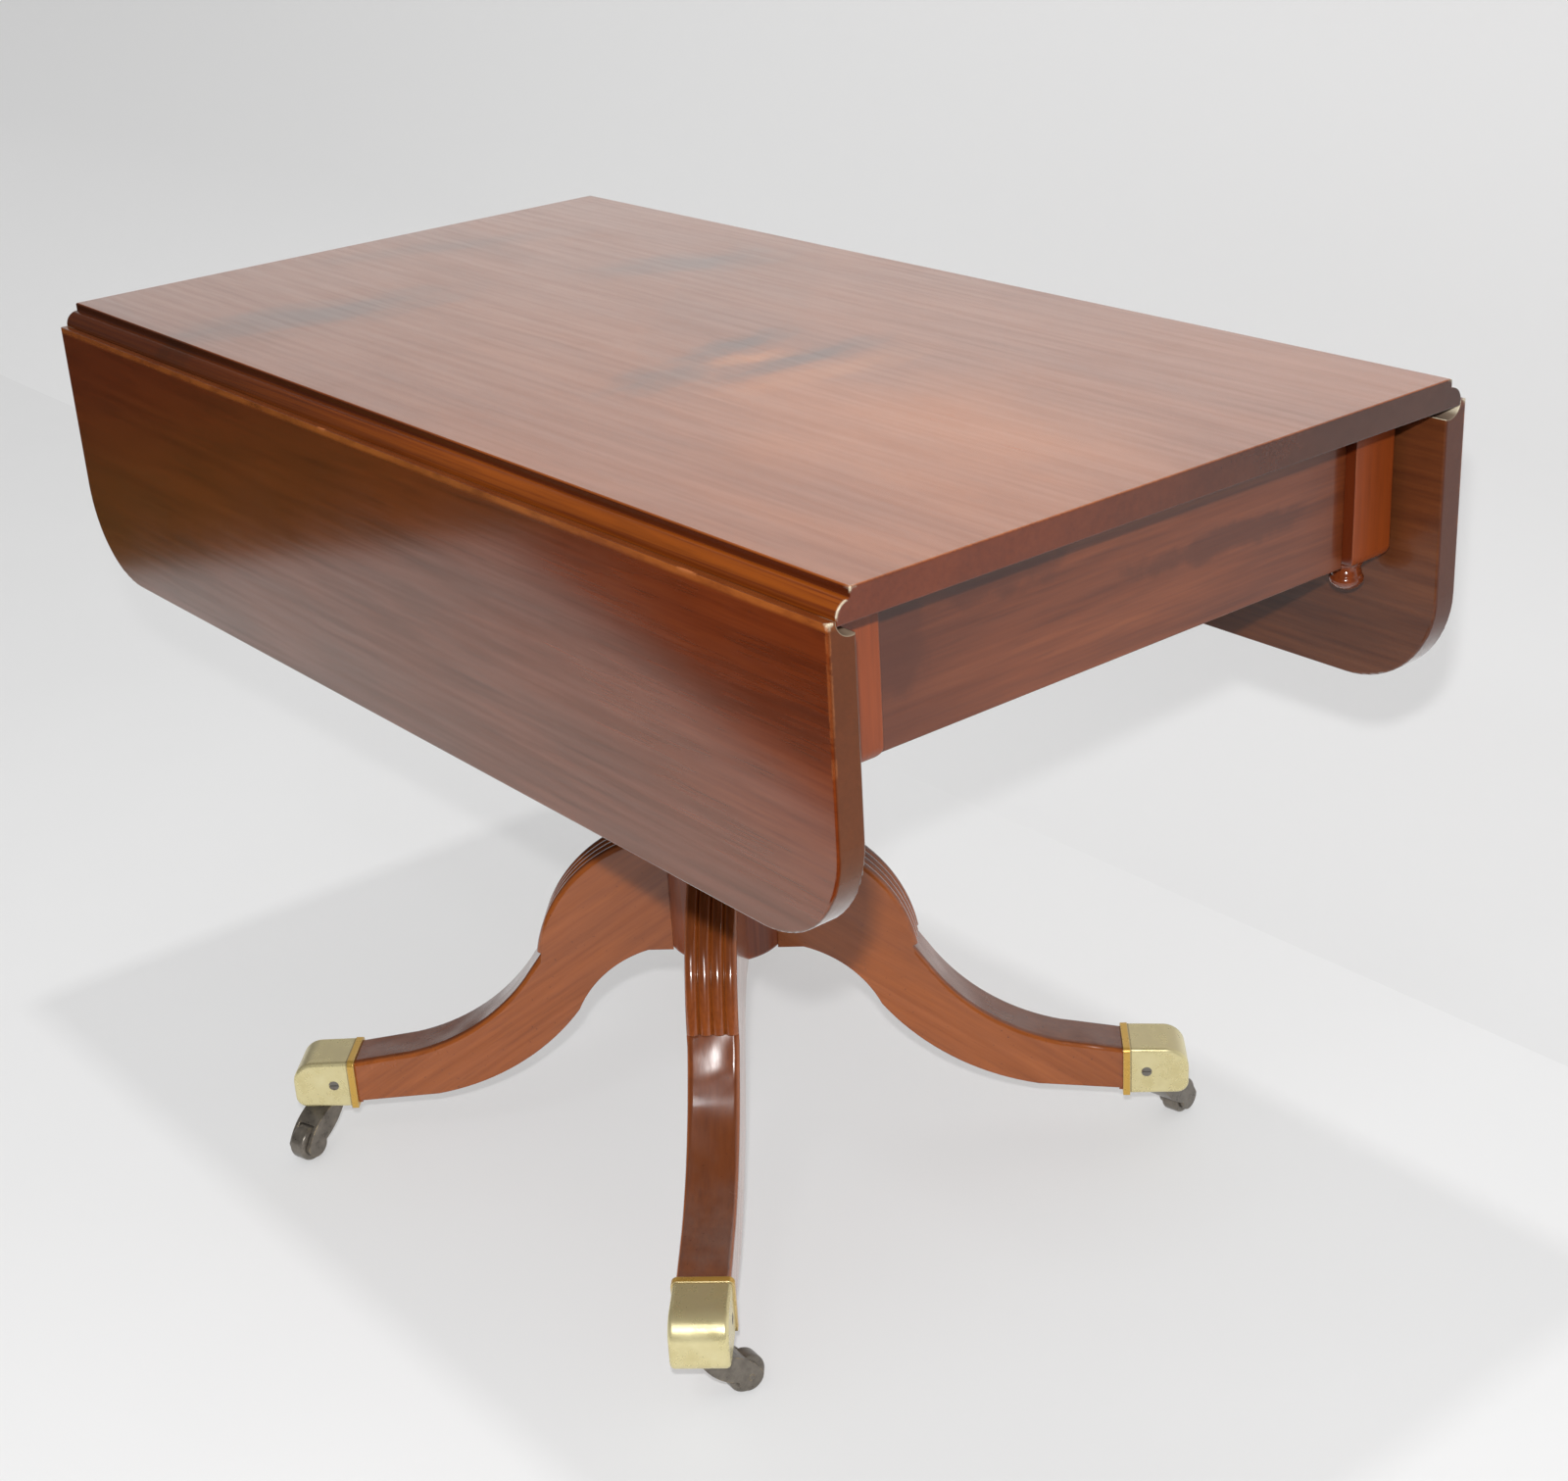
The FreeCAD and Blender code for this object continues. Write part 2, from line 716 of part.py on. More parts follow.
def make_finial(corner, sx, sy):
    """A turned drop: collar, neck and flattened ball, with a dowel into the post."""
    name = f"{corner}_finial"
    body = new_body(name)
    item = new_sketch(body, "XZ_Plane", "profile")
    collar = -s.finial_collar_height
    neck = collar - s.finial_neck_height
    half_ball = s.finial_ball_height / 2
    waist = neck - half_ball
    tip = waist - half_ball
    ball_arc = (half_ball * half_ball + s.finial_ball * s.finial_ball) / (s.finial_ball * 2)
    shoulder = s.finial_collar_height / 2
    draw(item, [
        (NIL, dowel_length),
        (NIL, tip),
        (s.finial_ball - s.finial_neck * 0.25, waist - half_ball * 0.45, ball_arc * 1.25, 1),
        (s.finial_ball - s.finial_neck * 0.25, waist + half_ball * 0.45, half_ball * 0.62, 1),
        (s.finial_neck, neck, ball_arc * 1.25, 1),
        (s.finial_neck, collar),
        (s.finial_collar, collar + shoulder, shoulder * 1.6, 1),
        (s.finial_collar, NIL),
        (s.finial_dowel, NIL),
        (s.finial_dowel, dowel_length),
    ])
    revolve(body, item, "turning")
    seat(body, sx * post_x, sy * post_y, frame_bottom)
    parts[name] = body


# fly brackets: a fixed rail along the middle of each side, with a bracket knuckled to each of its ends
fly_bottom = underside - s.fly_top_gap - s.fly_height
finger = s.fly_height / 5
fly_pin_y = side_rail_outer + s.fly_rail_thickness / 2
fly_pin_x = post_back * s.fly_share
fly_length = post_back - fly_pin_x - s.fly_tip_gap
fly_round = s.fly_thickness / 2
rail_round = s.fly_rail_thickness / 2
knuckle_room = s.fly_finger_gap


def make_fly_rail(side, sign):
    name = f"{side}_fly_rail"
    body = new_body(f"{name}_board")
    item = new_sketch(body, "XY_Plane", "section")
    draw(item, [
        (fly_pin_x, -rail_round),
        (fly_pin_x + rail_round, NIL, rail_round, 1),
        (fly_pin_x, rail_round, rail_round, 1),
        (-fly_pin_x, rail_round),
        (-fly_pin_x - rail_round, NIL, rail_round, 1),
        (-fly_pin_x, -rail_round, rail_round, 1),
    ])
    pad(body, item, "board", s.fly_height)
    slots = new_sketch(body, "XZ_Plane", "slots")
    inner_end = fly_pin_x - fly_round - knuckle_room
    outer_end = fly_pin_x + s.fly_rail_thickness
    for low in (1, 3):
        for end in (-1, 1):
            draw(slots, frame_corners(span(end, inner_end, outer_end), (finger * low, finger * (low + 1))))
    pocket(body, slots, "slots", s.fly_rail_thickness * 2, both_ways=True)
    seat(body, NIL, sign * fly_pin_y, fly_bottom)
    holes = []
    pins = []
    for end, sx in (("front", 1), ("back", -1)):
        start = (sx * fly_pin_x, sign * fly_pin_y, fly_bottom - s.fly_pin_tail)
        length = s.fly_height + s.fly_pin_tail
        holes.append(rod(f"{name}_{end}_hole", s.fly_pin_radius + s.pin_clearance, length, start, (0, 0, 1)))
        pins.append(rod(f"{side}_{end}_fly_pin", s.fly_pin_radius, length, start, (0, 0, 1)))
    parts[name] = cut(name, body, holes)
    return pins


def make_fly(side, sign, end, sx):
    """A fly bracket: two fingers about the pin, and a lower edge swept up to the tip."""
    name = f"{side}_{end}_fly"
    body = new_body(name)
    item = new_sketch(body, "XY_Plane", "section")
    draw(item, [
        (fly_length, -fly_round),
        (fly_length, fly_round),
        (NIL, fly_round),
        (-fly_round, NIL, fly_round, 1),
        (NIL, -fly_round, fly_round, 1),
    ])
    pad(body, item, "board", s.fly_height)
    slots = new_sketch(body, "XZ_Plane", "slots")
    reach = (-s.fly_thickness, rail_round + knuckle_room)
    for low, high in ((NIL - finger, finger), (finger * 2, finger * 3), (finger * 4, finger * 6)):
        draw(slots, frame_corners(reach, (low - s.fly_finger_gap, high + s.fly_finger_gap)))
    pocket(body, slots, "slots", s.fly_thickness * 2, both_ways=True)
    sweep = new_sketch(body, "XZ_Plane", "sweep")
    tip_rise = s.fly_height - s.fly_tip_height
    sweep_start = fly_length / 3
    run = fly_length - sweep_start
    draw(sweep, [
        (sweep_start, -s.fly_tip_height),
        (fly_length * 1.1, -s.fly_tip_height),
        (fly_length * 1.1, tip_rise),
        (fly_length, tip_rise),
        (sweep_start + run / 2, tip_rise / 2, run * 0.75, 1),
        (sweep_start, NIL, run * 0.75, -1),
    ])
    pocket(body, sweep, "sweep", s.fly_thickness * 2, both_ways=True)
    bore = new_sketch(body, "XY_Plane", "bore")
    hole = s.fly_pin_radius + s.pin_clearance
    draw(bore, [(hole, NIL, hole, 1), (NIL, hole, hole, 1), (-hole, NIL, hole, 1), (NIL, -hole, hole, 1)])
    pocket(body, bore, "bore", s.fly_height, reverse=True)
    turn(body, 0 if sx > 0 else 180)
    seat(body, sx * fly_pin_x, sign * fly_pin_y, fly_bottom)
    parts[name] = body


block_top = frame_bottom + s.block_thickness


def bearer_places():
    return (("front", s.bearer_spacing / 2), ("back", s.bearer_spacing / -2))


def bearer_tongue_x(x):
    return around(x, s.bearer_thickness / 2)


def bearer_tongue_z():
    return block_top + s.tenon_shoulder, underside - s.tenon_shoulder


def make_bearers():
    """Two cross bearers tongued into the side rails, and the block under them that takes the column."""
    screws = []
    for end, x in bearer_places():
        name = f"{end}_bearer"
        board = box(f"{name}_board", around(x, s.bearer_thickness), (-side_rail_inner, side_rail_inner),
                    (block_top, underside))
        reach = side_rail_inner + s.bearer_tenon
        tongue = box(f"{name}_tongues", bearer_tongue_x(x), (-reach, reach), bearer_tongue_z())
        bearer_screws = []
        for side, sign in SIDES.items():
            place = (x, sign * s.block_width * 0.36, frame_bottom)
            bearer_screws.append(Screw(f"{name}_{side}_screw", s.long_screw_length, place, (0, 0, 1)))
        parts[name] = cut(name, fuse(f"{name}_blank", [board, tongue]), holes_of(bearer_screws))
        screws += bearer_screws
    block = box("pedestal_block_board", around(NIL, s.block_length), around(NIL, s.block_width),
                (frame_bottom, block_top))
    hole = rod("pedestal_block_hole", s.column_tenon + s.tenon_clearance, s.block_thickness,
               (NIL, NIL, frame_bottom), (0, 0, 1))
    parts["pedestal_block"] = cut("pedestal_block", block, [hole] + holes_of(screws))
    parts["block_screws"] = group("block_screws", solids_of(screws))


hub_top = s.hub_bottom + s.hub_height


def dovetail_corners(fit):
    """The section of a leg's dovetail, from just outside the hub's face inwards."""
    neck = s.dovetail_neck / 2 + fit
    tail = s.dovetail_neck / 2 + s.dovetail_flare + fit
    outside = s.hub_radius + s.dovetail_flare
    inside = s.hub_radius - s.dovetail_depth - fit
    return [(outside, -neck), (outside, neck), (inside, tail), (inside, -tail)]


def make_column():
    """The turned column, from the hub with its dovetail sockets up to the tenon in the block."""
    body = new_body("column")
    item = new_sketch(body, "XZ_Plane", "profile")
    run = frame_bottom - hub_top
    bead_height = run * s.hub_bead_share
    scotia_height = run * s.base_scotia_share
    baluster_height = run * s.baluster_share
    shaft_bead_height = run * s.shaft_bead_share
    capital_height = run * s.capital_share
    bead_top = hub_top + bead_height
    scotia_top = bead_top + scotia_height
    belly = scotia_top + baluster_height * 0.45
    shoulder = scotia_top + baluster_height
    capital = frame_bottom - capital_height
    capital_edge = frame_bottom - capital_height * s.capital_edge_share
    bead_low = capital - shaft_bead_height
    quirk = s.hub_edge
    scotia_outer = s.hub_radius - quirk
    scotia_reach = scotia_outer - s.base_neck
    scotia = (scotia_reach * scotia_reach + scotia_height * scotia_height) / (scotia_reach * 2)
    draw(item, [
        (NIL, frame_bottom + s.column_tenon_length),
        (NIL, s.hub_bottom),
        (s.hub_radius - s.hub_edge, s.hub_bottom),
        (s.hub_radius, s.hub_bottom + s.hub_edge, s.hub_edge, 1),
        (s.hub_radius, hub_top),
        (s.hub_radius, bead_top, bead_height * 0.56, 1),
        (scotia_outer, bead_top),
        (s.base_neck, scotia_top, scotia, -1),
        (s.base_neck + quirk, scotia_top),
        (s.baluster_radius, belly, baluster_height * 0.62, 1),
        (s.baluster_radius * 0.78, shoulder, baluster_height * 0.75, 1),
        (s.shaft_neck, bead_low, (bead_low - shoulder) * 2.2, -1),
        (s.shaft_neck + s.shaft_bead, bead_low),
        (s.shaft_neck + s.shaft_bead, capital, shaft_bead_height * 0.56, 1),
        (s.shaft_neck, capital),
        (s.capital_radius - quirk, capital_edge, capital_height * 1.1, -1),
        (s.capital_radius, capital_edge),
        (s.capital_radius, frame_bottom),
        (s.column_tenon, frame_bottom),
        (s.column_tenon, frame_bottom + s.column_tenon_length),
    ])
    revolve(body, item, "turning")
    socket = new_sketch(body, "XY_Plane", "socket", lift=s.hub_bottom)
    draw(socket, dovetail_corners(s.tenon_clearance))
    first = pocket(body, socket, "socket", s.dovetail_height + s.tenon_clearance, reverse=True)
    polar(body, first, "sockets", len(LEG_ANGLES))
    turn(body, LEG_ANGLES["right"])
    parts["column"] = body


# the leg in its own frame: X outwards from the column's axis, Z up
reed_centre_z = s.hub_bottom - s.reed_arc_rise
core_radius = s.reed_arc_radius - s.reed_height
toe_bottom = s.cap_bottom + s.toe_lift
toe_top = toe_bottom + s.toe_height
leg_half = s.leg_width / 2
cap_half = leg_half + s.cap_side_wall
cap_end = s.toe_reach + s.cap_length
cap_top = toe_top + s.ring_proud
nose_start = cap_end - s.cap_nose_radius
castor_reach = cap_end - s.castor_setback


def make_leg(name, holes):
    """A sabre leg: swept core, reeds along the upper back, a dovetail at the hub, a tenon in the cap."""
    body = new_body(f"{name}_timber")
    item = new_sketch(body, "XZ_Plane", "profile")
    start_x = s.hub_radius / 2
    start_z = reed_centre_z + root(core_radius * core_radius
                                   - (start_x - s.reed_arc_reach) * (start_x - s.reed_arc_reach))
    end_x = s.reed_arc_reach + core_radius * cos(s.reed_end_angle)
    end_z = reed_centre_z + core_radius * sin(s.reed_end_angle)
    back = [
        (s.toe_reach, toe_top),
        (s.toe_reach - s.top_sweep_setback, toe_top + s.top_sweep_rise),
        (s.top_sweep_start, s.hub_bottom - s.top_sweep_drop),
    ]
    draw(item, [
        (start_x, s.hub_bottom),
        (s.leg_root_reach, s.hub_bottom),
        (s.shin_reach, s.hub_bottom - s.shin_drop, s.knee_radius, -1),
        (s.toe_reach - s.sweep_setback, toe_bottom + s.sweep_rise, s.shin_radius, 1),
        (s.toe_reach, toe_bottom),
        back[0],
        back[1],
        back[2] + (s.top_sweep_radius, -1),
        (end_x, end_z),
        (start_x, start_z, core_radius, 1),
    ])
    pad(body, item, "core", s.leg_width, both_ways=True)
    round_edges(body, "crown", s.leg_crown, lambda edge, at: abs(at.y) > leg_half.value - 0.01
                and joins(edge, back))

    reed_step = s.leg_width / s.reed_count
    reed = body.newObject("PartDesign::AdditiveTorus", f"{body.Name}_reed")
    bind(reed, Radius1=s.reed_arc_radius - reed_step / 2, Radius2=reed_step / 2)
    reed.Angle1 = -180.0
    reed.Angle2 = 180.0
    reed.setExpression("Angle3", (90 - s.reed_end_angle).text)
    axis_turn = FreeCAD.Rotation(Vector(1, 0, 0), 90)
    start_turn = FreeCAD.Rotation(Vector(0, 0, 1), s.reed_end_angle.value)
    reed.Placement = FreeCAD.Placement(Vector(0, 0, 0), axis_turn * start_turn)
    seat(reed, s.reed_arc_reach, reed_step / 2 - leg_half, reed_centre_z)
    body.Tip = reed
    row = body.newObject("PartDesign::LinearPattern", f"{body.Name}_reeds")
    row.Originals = [reed]
    row.Direction = (next(f for f in body.Origin.OriginFeatures if f.Role == "Y_Axis"), [""])
    bind(row, Length=s.leg_width - reed_step)
    row.Occurrences = round(s.reed_count.value)
    body.Tip = row

    hub = body.newObject("PartDesign::SubtractiveCylinder", f"{body.Name}_shoulder")
    bind(hub, Radius=s.hub_radius, Height=s.table_height)
    body.Tip = hub
    tongue = new_sketch(body, "XY_Plane", "dovetail", lift=s.hub_bottom)
    draw(tongue, dovetail_corners(NIL))
    pad(body, tongue, "dovetail", s.dovetail_height)
    tenon = new_sketch(body, "XZ_Plane", "tenon")
    draw(tenon, toe_corners(NIL))
    pad(body, tenon, "tenon", (cap_half - s.cap_wall - s.cap_fit) * 2, both_ways=True)
    return cut(name, body, holes)


def joins(edge, points):
    """Whether both ends of an edge lie among points of a side outline."""
    return all(any(math.hypot(end.Point.x - x.value, end.Point.z - z.value) < 0.01 for x, z in points)
               for end in edge.Vertexes)


def toe_corners(fit):
    """The side outline of the wood inside a toe cap, or of the cap's hollow where it is a fit larger."""
    front = cap_end - s.cap_wall * 2 + fit
    top = toe_top - s.cap_top_wall + fit
    low = s.cap_bottom + s.cap_wall - fit
    root_x = s.toe_reach - s.cap_wall
    return [
        (front, low),
        (front, low + s.cap_nose_height * 0.6),
        (nose_start, top - s.cap_top_wall),
        (root_x, top),
        (root_x, low),
    ]


def make_cap(name, holes):
    """A square brass toe cap: rounded nose, hollow for the toe, and a raised ring at the mouth."""
    body = new_body(f"{name}_casting")
    item = new_sketch(body, "XZ_Plane", "profile")
    nose_z = s.cap_bottom + s.cap_nose_height
    draw(item, [
        (s.toe_reach, s.cap_bottom),
        (cap_end - s.cap_toe_radius, s.cap_bottom),
        (cap_end, s.cap_bottom + s.cap_toe_radius, s.cap_toe_radius, 1),
        (cap_end, nose_z),
        (nose_start, toe_top, s.cap_nose_radius, 1),
        (s.toe_reach, toe_top + s.cap_top_wall / 2),
    ])
    pad(body, item, "shell", cap_half * 2, both_ways=True)
    round_edges(body, "crown", s.cap_crown,
                lambda edge, at: abs(abs(at.y) - cap_half.value) < 0.01
                and at.z > s.cap_bottom.value + 0.01 and at.x > s.toe_reach.value + 0.01)
    ring = new_sketch(body, "YZ_Plane", "ring", lift=s.toe_reach)
    outer = cap_half + s.ring_proud
    crown = s.cap_crown + s.ring_proud
    draw(ring, [
        (outer, s.cap_bottom),
        (outer, cap_top - crown),
        (outer - crown, cap_top, crown, 1),
        (crown - outer, cap_top),
        (-outer, cap_top - crown, crown, 1),
        (-outer, s.cap_bottom),
    ])
    pad(body, ring, "ring", s.ring_width)
    hollow = new_sketch(body, "XZ_Plane", "hollow")
    draw(hollow, toe_corners(s.cap_fit))
    pocket(body, hollow, "hollow", (cap_half - s.cap_wall) * 2, both_ways=True)
    return cut(name, body, holes)


def make_foot(corner):
    """One leg with its toe cap, in the leg's own frame and then turned to its place."""
    angle = LEG_ANGLES[corner]
    stem_hole = rod(f"{corner}_stem_hole", s.castor_stem_radius + s.pin_clearance,
                    s.castor_stem_length + s.castor_gap, (castor_reach, NIL, s.cap_bottom), (0, 0, 1))
    cap_screws = []
    for side, sign in SIDES.items():
        place = (cap_end - s.cap_screw_setback, sign * cap_half, s.cap_bottom + s.cap_screw_rise)
        cap_screws.append(Screw(f"{corner}_cap_screw_{side}", s.cap_screw_length, place, (0, -sign, 0)))
    place = ((s.hub_radius + s.leg_root_reach) / 2, NIL, s.hub_bottom - s.spider_thickness)
    spider_screw = Screw(f"{corner}_spider_screw", s.hinge_screw_length, place, (0, 0, 1))
    leg = make_leg(f"{corner}_leg", [stem_hole, spider_screw.hole] + holes_of(cap_screws))
    cap = make_cap(f"{corner}_toe_cap", [stem_hole] + holes_of(cap_screws))
    screw_pair = group(f"{corner}_cap_screw_pair", solids_of(cap_screws))
    for item in (leg, cap, screw_pair):
        turn(item, angle)
    parts[f"{corner}_leg"] = leg
    parts[f"{corner}_toe_cap"] = cap
    return screw_pair, spider_screw


def make_spider(spider_screws):
    """The iron plate under the hub, an arm under each leg."""
    body = new_body("spider_plate_blank")
    item = new_sketch(body, "XY_Plane", "outline", lift=s.hub_bottom - s.spider_thickness)
    arm = s.spider_arm / 2
    far = s.spider_reach
    draw(item, [
        (far, -arm), (far, arm), (arm, arm), (arm, far), (-arm, far), (-arm, arm),
        (-far, arm), (-far, -arm), (-arm, -arm), (-arm, -far), (arm, -far), (arm, -arm),
    ])
    pad(body, item, "plate", s.spider_thickness)
    turn(body, LEG_ANGLES["right"])
    holes = []
    solids = []
    for corner, item in spider_screws.items():
        for kind, piece, places in (("hole", item.hole, holes), ("solid", item.solid, solids)):
            place = group(f"{corner}_spider_screw_{kind}_place", [piece])
            turn(place, LEG_ANGLES[corner])
            places.append(place)
    parts["spider_plate"] = cut("spider_plate", body, holes)
    parts["spider_screws"] = group("spider_screws", solids)


def castor_place(corner):
    """Where a castor's pin stands."""
    angle = LEG_ANGLES[corner]
    return castor_reach * cos(angle), castor_reach * sin(angle)


def make_castor(corner):
    """A swivel castor: a horned fork on a stem, its axle, and its wheel."""
    name = f"{corner}_castor_fork"
    body = new_body(name)
    top = s.cap_bottom - s.castor_gap
    half = s.castor_width / 2
    plate = new_sketch(body, "XZ_Plane", "plate")
    radius = s.castor_plate_radius
    low = top - s.castor_plate_height
    draw(plate, [
        (NIL, top + s.castor_stem_length),
        (NIL, low),
        (radius, low),
        (radius, top),
        (s.castor_stem_radius, top),
        (s.castor_stem_radius, top + s.castor_stem_length),
    ])
    revolve(body, plate, "plate")
    arm = new_sketch(body, "XZ_Plane", "arm")
    trail = s.castor_trail
    round_arm = s.castor_arm
    heel = radius * 0.7
    draw(arm, [
        (-heel, low + s.castor_plate_height / 2),
        (trail - round_arm, s.wheel_radius, trail * 2, 1),
        (trail, s.wheel_radius - round_arm, round_arm, 1),
        (trail + round_arm, s.wheel_radius, round_arm, 1),
        (radius * 0.9, low + s.castor_plate_height / 2, trail * 1.6, 1),
    ])
    pad(body, arm, "arms", s.castor_width, both_ways=True)
    slot = new_sketch(body, "XZ_Plane", "slot")
    room = s.wheel_radius + s.wheel_top_gap
    draw(slot, [
        (trail + room, s.wheel_radius, room, 1),
        (trail, s.wheel_radius + room, room, 1),
        (trail - room, s.wheel_radius, room, 1),
        (trail, s.wheel_radius - room, room, 1),
    ])
    pocket(body, slot, "slot", s.wheel_width + s.wheel_side_gap * 2, both_ways=True)
    bore = new_sketch(body, "XZ_Plane", "bore")
    hole = s.axle_radius + s.pin_clearance
    draw(bore, [
        (trail + hole, s.wheel_radius, hole, 1),
        (trail, s.wheel_radius + hole, hole, 1),
        (trail - hole, s.wheel_radius, hole, 1),
        (trail, s.wheel_radius - hole, hole, 1),
    ])
    pocket(body, bore, "bore", s.castor_width * 2, both_ways=True)
    x, y = castor_place(corner)
    angle = CASTOR_TURNS[corner]
    turn(body, angle)
    seat(body, x, y, NIL)
    parts[name] = body

    wheel = new_body(f"{corner}_castor_wheel")
    item = new_sketch(wheel, "XY_Plane", "section")
    side = s.wheel_width / 2
    edge = s.wheel_round
    draw(item, [
        (hole, -side),
        (s.wheel_radius - edge, -side),
        (s.wheel_radius, edge - side, edge, 1),
        (s.wheel_radius, side - edge),
        (s.wheel_radius - edge, side, edge, 1),
        (hole, side),
    ])
    revolve(wheel, item, "tread")
    turn(wheel, angle)
    wheel_x = x + trail * cos(angle)
    wheel_y = y + trail * sin(angle)
    seat(wheel, wheel_x, wheel_y, s.wheel_radius)
    parts[wheel.Name] = wheel

    across = (-math.sin(math.radians(angle)), math.cos(math.radians(angle)), 0)
    start = (wheel_x + half * sin(angle), wheel_y - half * cos(angle), s.wheel_radius)
    axle = rod(f"{corner}_castor_axle", s.axle_radius, s.castor_width, start, across)
    parts[axle.Name] = axle


def build():
    plate_screws = []
    strap_screws = {}
    for side, sign in SIDES.items():
        screws, strap_screws[side] = make_hinges(side, sign)
        plate_screws += screws
    parts["hinge_plate_screws"] = group("hinge_plate_screws", solids_of(plate_screws))
    make_top(plate_screws)
    fly_pins = []
    for side, sign in SIDES.items():
        make_leaf(side, sign, strap_screws[side])
        fly_pins += make_fly_rail(side, sign)
        for end, sx in (("front", 1), ("back", -1)):
            make_fly(side, sign, end, sx)
    parts["fly_pins"] = group("fly_pins", fly_pins)
    make_rails()
    make_bearers()
    make_column()
    cap_screws = []
    spider_screws = {}
    for corner, (sx, sy) in CORNERS.items():
        make_post(corner, sx, sy)
        make_finial(corner, sx, sy)
        pair, spider_screws[corner] = make_foot(corner)
        cap_screws.append(pair)
        make_castor(corner)
    parts["cap_screws"] = group("cap_screws", cap_screws)
    make_spider(spider_screws)


def check():
    """Stops if any object failed or any sub-part's shape is missing or invalid."""
    for item in doc.Objects:
        if "Invalid" in item.State or "Error" in item.State:
            raise RuntimeError(f"{item.Name} failed: {item.State}")
    for name, item in parts.items():
        if item.Shape.isNull() or not item.Shape.isValid():
            raise RuntimeError(f"{name} has no valid shape")


def export():
    os.makedirs("parts", exist_ok=True)
    for name, item in parts.items():
        item.Label = name
        item.Shape.exportStep(f"parts/{name}.step")


build()
doc.recompute()
check()
export()
print(f"{len(parts)} sub-parts written")
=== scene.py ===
import math

import bpy
from mathutils import Matrix, Vector

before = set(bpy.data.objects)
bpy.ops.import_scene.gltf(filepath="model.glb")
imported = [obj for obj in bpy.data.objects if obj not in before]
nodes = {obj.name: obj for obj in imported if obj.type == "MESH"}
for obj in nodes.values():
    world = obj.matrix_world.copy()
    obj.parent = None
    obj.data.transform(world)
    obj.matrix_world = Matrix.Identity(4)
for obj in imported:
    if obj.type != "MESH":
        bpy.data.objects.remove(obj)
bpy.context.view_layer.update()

CORNERS = ("front", "right", "back", "left")
SIDES = ("near", "far")
ENDS = ("front", "back")

# legs: angle about the column in degrees, turn of the whole pedestal, the dusty look and painted sheen on top
# of each leg
LEG_ANGLES = {"front": -45.0, "right": 45.0, "back": 135.0, "left": 225.0}
PEDESTAL_TURN = 2.6
LEG_DUST_AND_SHEEN = {"front": 0.20, "right": 0.06, "back": 0.06, "left": 0.03}

# places and sizes on the table, in metres
TOP_END = 0.5080
TOP_Z = 0.7200
FILLET_DEPTH = 0.0065
LEAF_FACE = 0.2865
PIN_Y = 0.2690
PIN_Z = 0.7025
COVE_RADIUS = 0.0113
RAIL_FACE = 0.4620
CAP_RING_REACH = 0.3400

# mahogany tones, from the dark lines to the worn edges, and then those of the figure and the rubbed lip,
# which also holds a painted highlight
DARK = (0.070, 0.0145, 0.0045)
BROWN = (0.150, 0.0310, 0.0085)
RED = (0.240, 0.0520, 0.0120)
ORANGE = (0.360, 0.0880, 0.0200)
GOLD = (0.520, 0.1900, 0.0520)
BARE = (0.480, 0.1550, 0.0480)
CREAM = (0.740, 0.670, 0.4900)
SMOKE = (0.085, 0.040, 0.028)
FLASH = (0.500, 0.170, 0.040)
WARM = (0.520, 0.170, 0.046)
RUBBED_AND_HIGHLIGHT = (0.400, 0.110, 0.020)

# figure of the centre board: place, half width and half length, turn from the Y axis, depth of tone
SMOKE_FLASHES = (((-0.300, -0.160), (0.066, 0.175), -11.0, 0.75),
                 ((-0.195, 0.150), (0.056, 0.110), -27.0, 0.70),
                 ((0.052, 0.012), (0.030, 0.072), 5.0, 0.80),
                 ((0.121, 0.018), (0.026, 0.105), 1.0, 0.85),
                 ((0.083, -0.075), (0.050, 0.070), 8.0, 0.65),
                 ((-0.430, 0.050), (0.036, 0.160), -20.0, 0.40))
ORANGE_FLASHES = (((0.090, -0.008), (0.022, 0.042), -14.0, 0.65),
                  ((0.162, 0.006), (0.034, 0.110), -4.0, 0.40))
FLASH_DEPTH = 0.05
WARM_SPOT = (0.320, -0.030, TOP_Z)
WARM_SPREAD = (0.270, 0.170, 0.06)

# small damage: place and spread of each mark, and on the leaves its tint; the top's near-corner marks are
# also painted glints
TOP_CHIPS_AND_GLINTS = (((TOP_END, -0.2690, 0.7195), (0.006, 0.007, 0.004)),
             ((TOP_END, -0.2745, 0.7110), (0.004, 0.005, 0.004)),
             ((TOP_END, -0.2785, 0.7065), (0.004, 0.004, 0.005)),
             ((TOP_END, 0.2690, 0.7195), (0.004, 0.005, 0.003)))
LEAF_KNOCKS = (((0.379, LEAF_FACE, 0.7020), (0.012, 0.004, 0.0040), BARE),
               ((-0.056, LEAF_FACE, 0.7020), (0.008, 0.004, 0.003), BARE),
               ((TOP_END, 0.2850, 0.7010), (0.004, 0.0035, 0.0035), CREAM),
               ((TOP_END, LEAF_FACE, 0.6910), (0.006, 0.004, 0.008), BARE),
               ((TOP_END, LEAF_FACE, 0.6560), (0.006, 0.004, 0.034), BARE),
               ((TOP_END, LEAF_FACE, 0.6140), (0.006, 0.004, 0.008), BARE))

# dark clouds in the front end rail: place and spread
RAIL_CLOUDS = (((RAIL_FACE, -0.200, 0.650), (0.05, 0.030, 0.045)),
               ((RAIL_FACE, -0.110, 0.672), (0.05, 0.060, 0.020)),
               ((RAIL_FACE, 0.100, 0.640), (0.05, 0.110, 0.012)))

# stage: reach of the floor, ends, place and bend of the back cloth
FLOOR_REACH = 9.0
CLOTH_LEFT, CLOTH_RIGHT = -7.0, 5.0
CLOTH_Y, CLOTH_HEIGHT = 1.0, 3.4
CLOTH_BEND, CLOTH_LIFT, BEND_STEPS = 0.40, 0.0005, 16
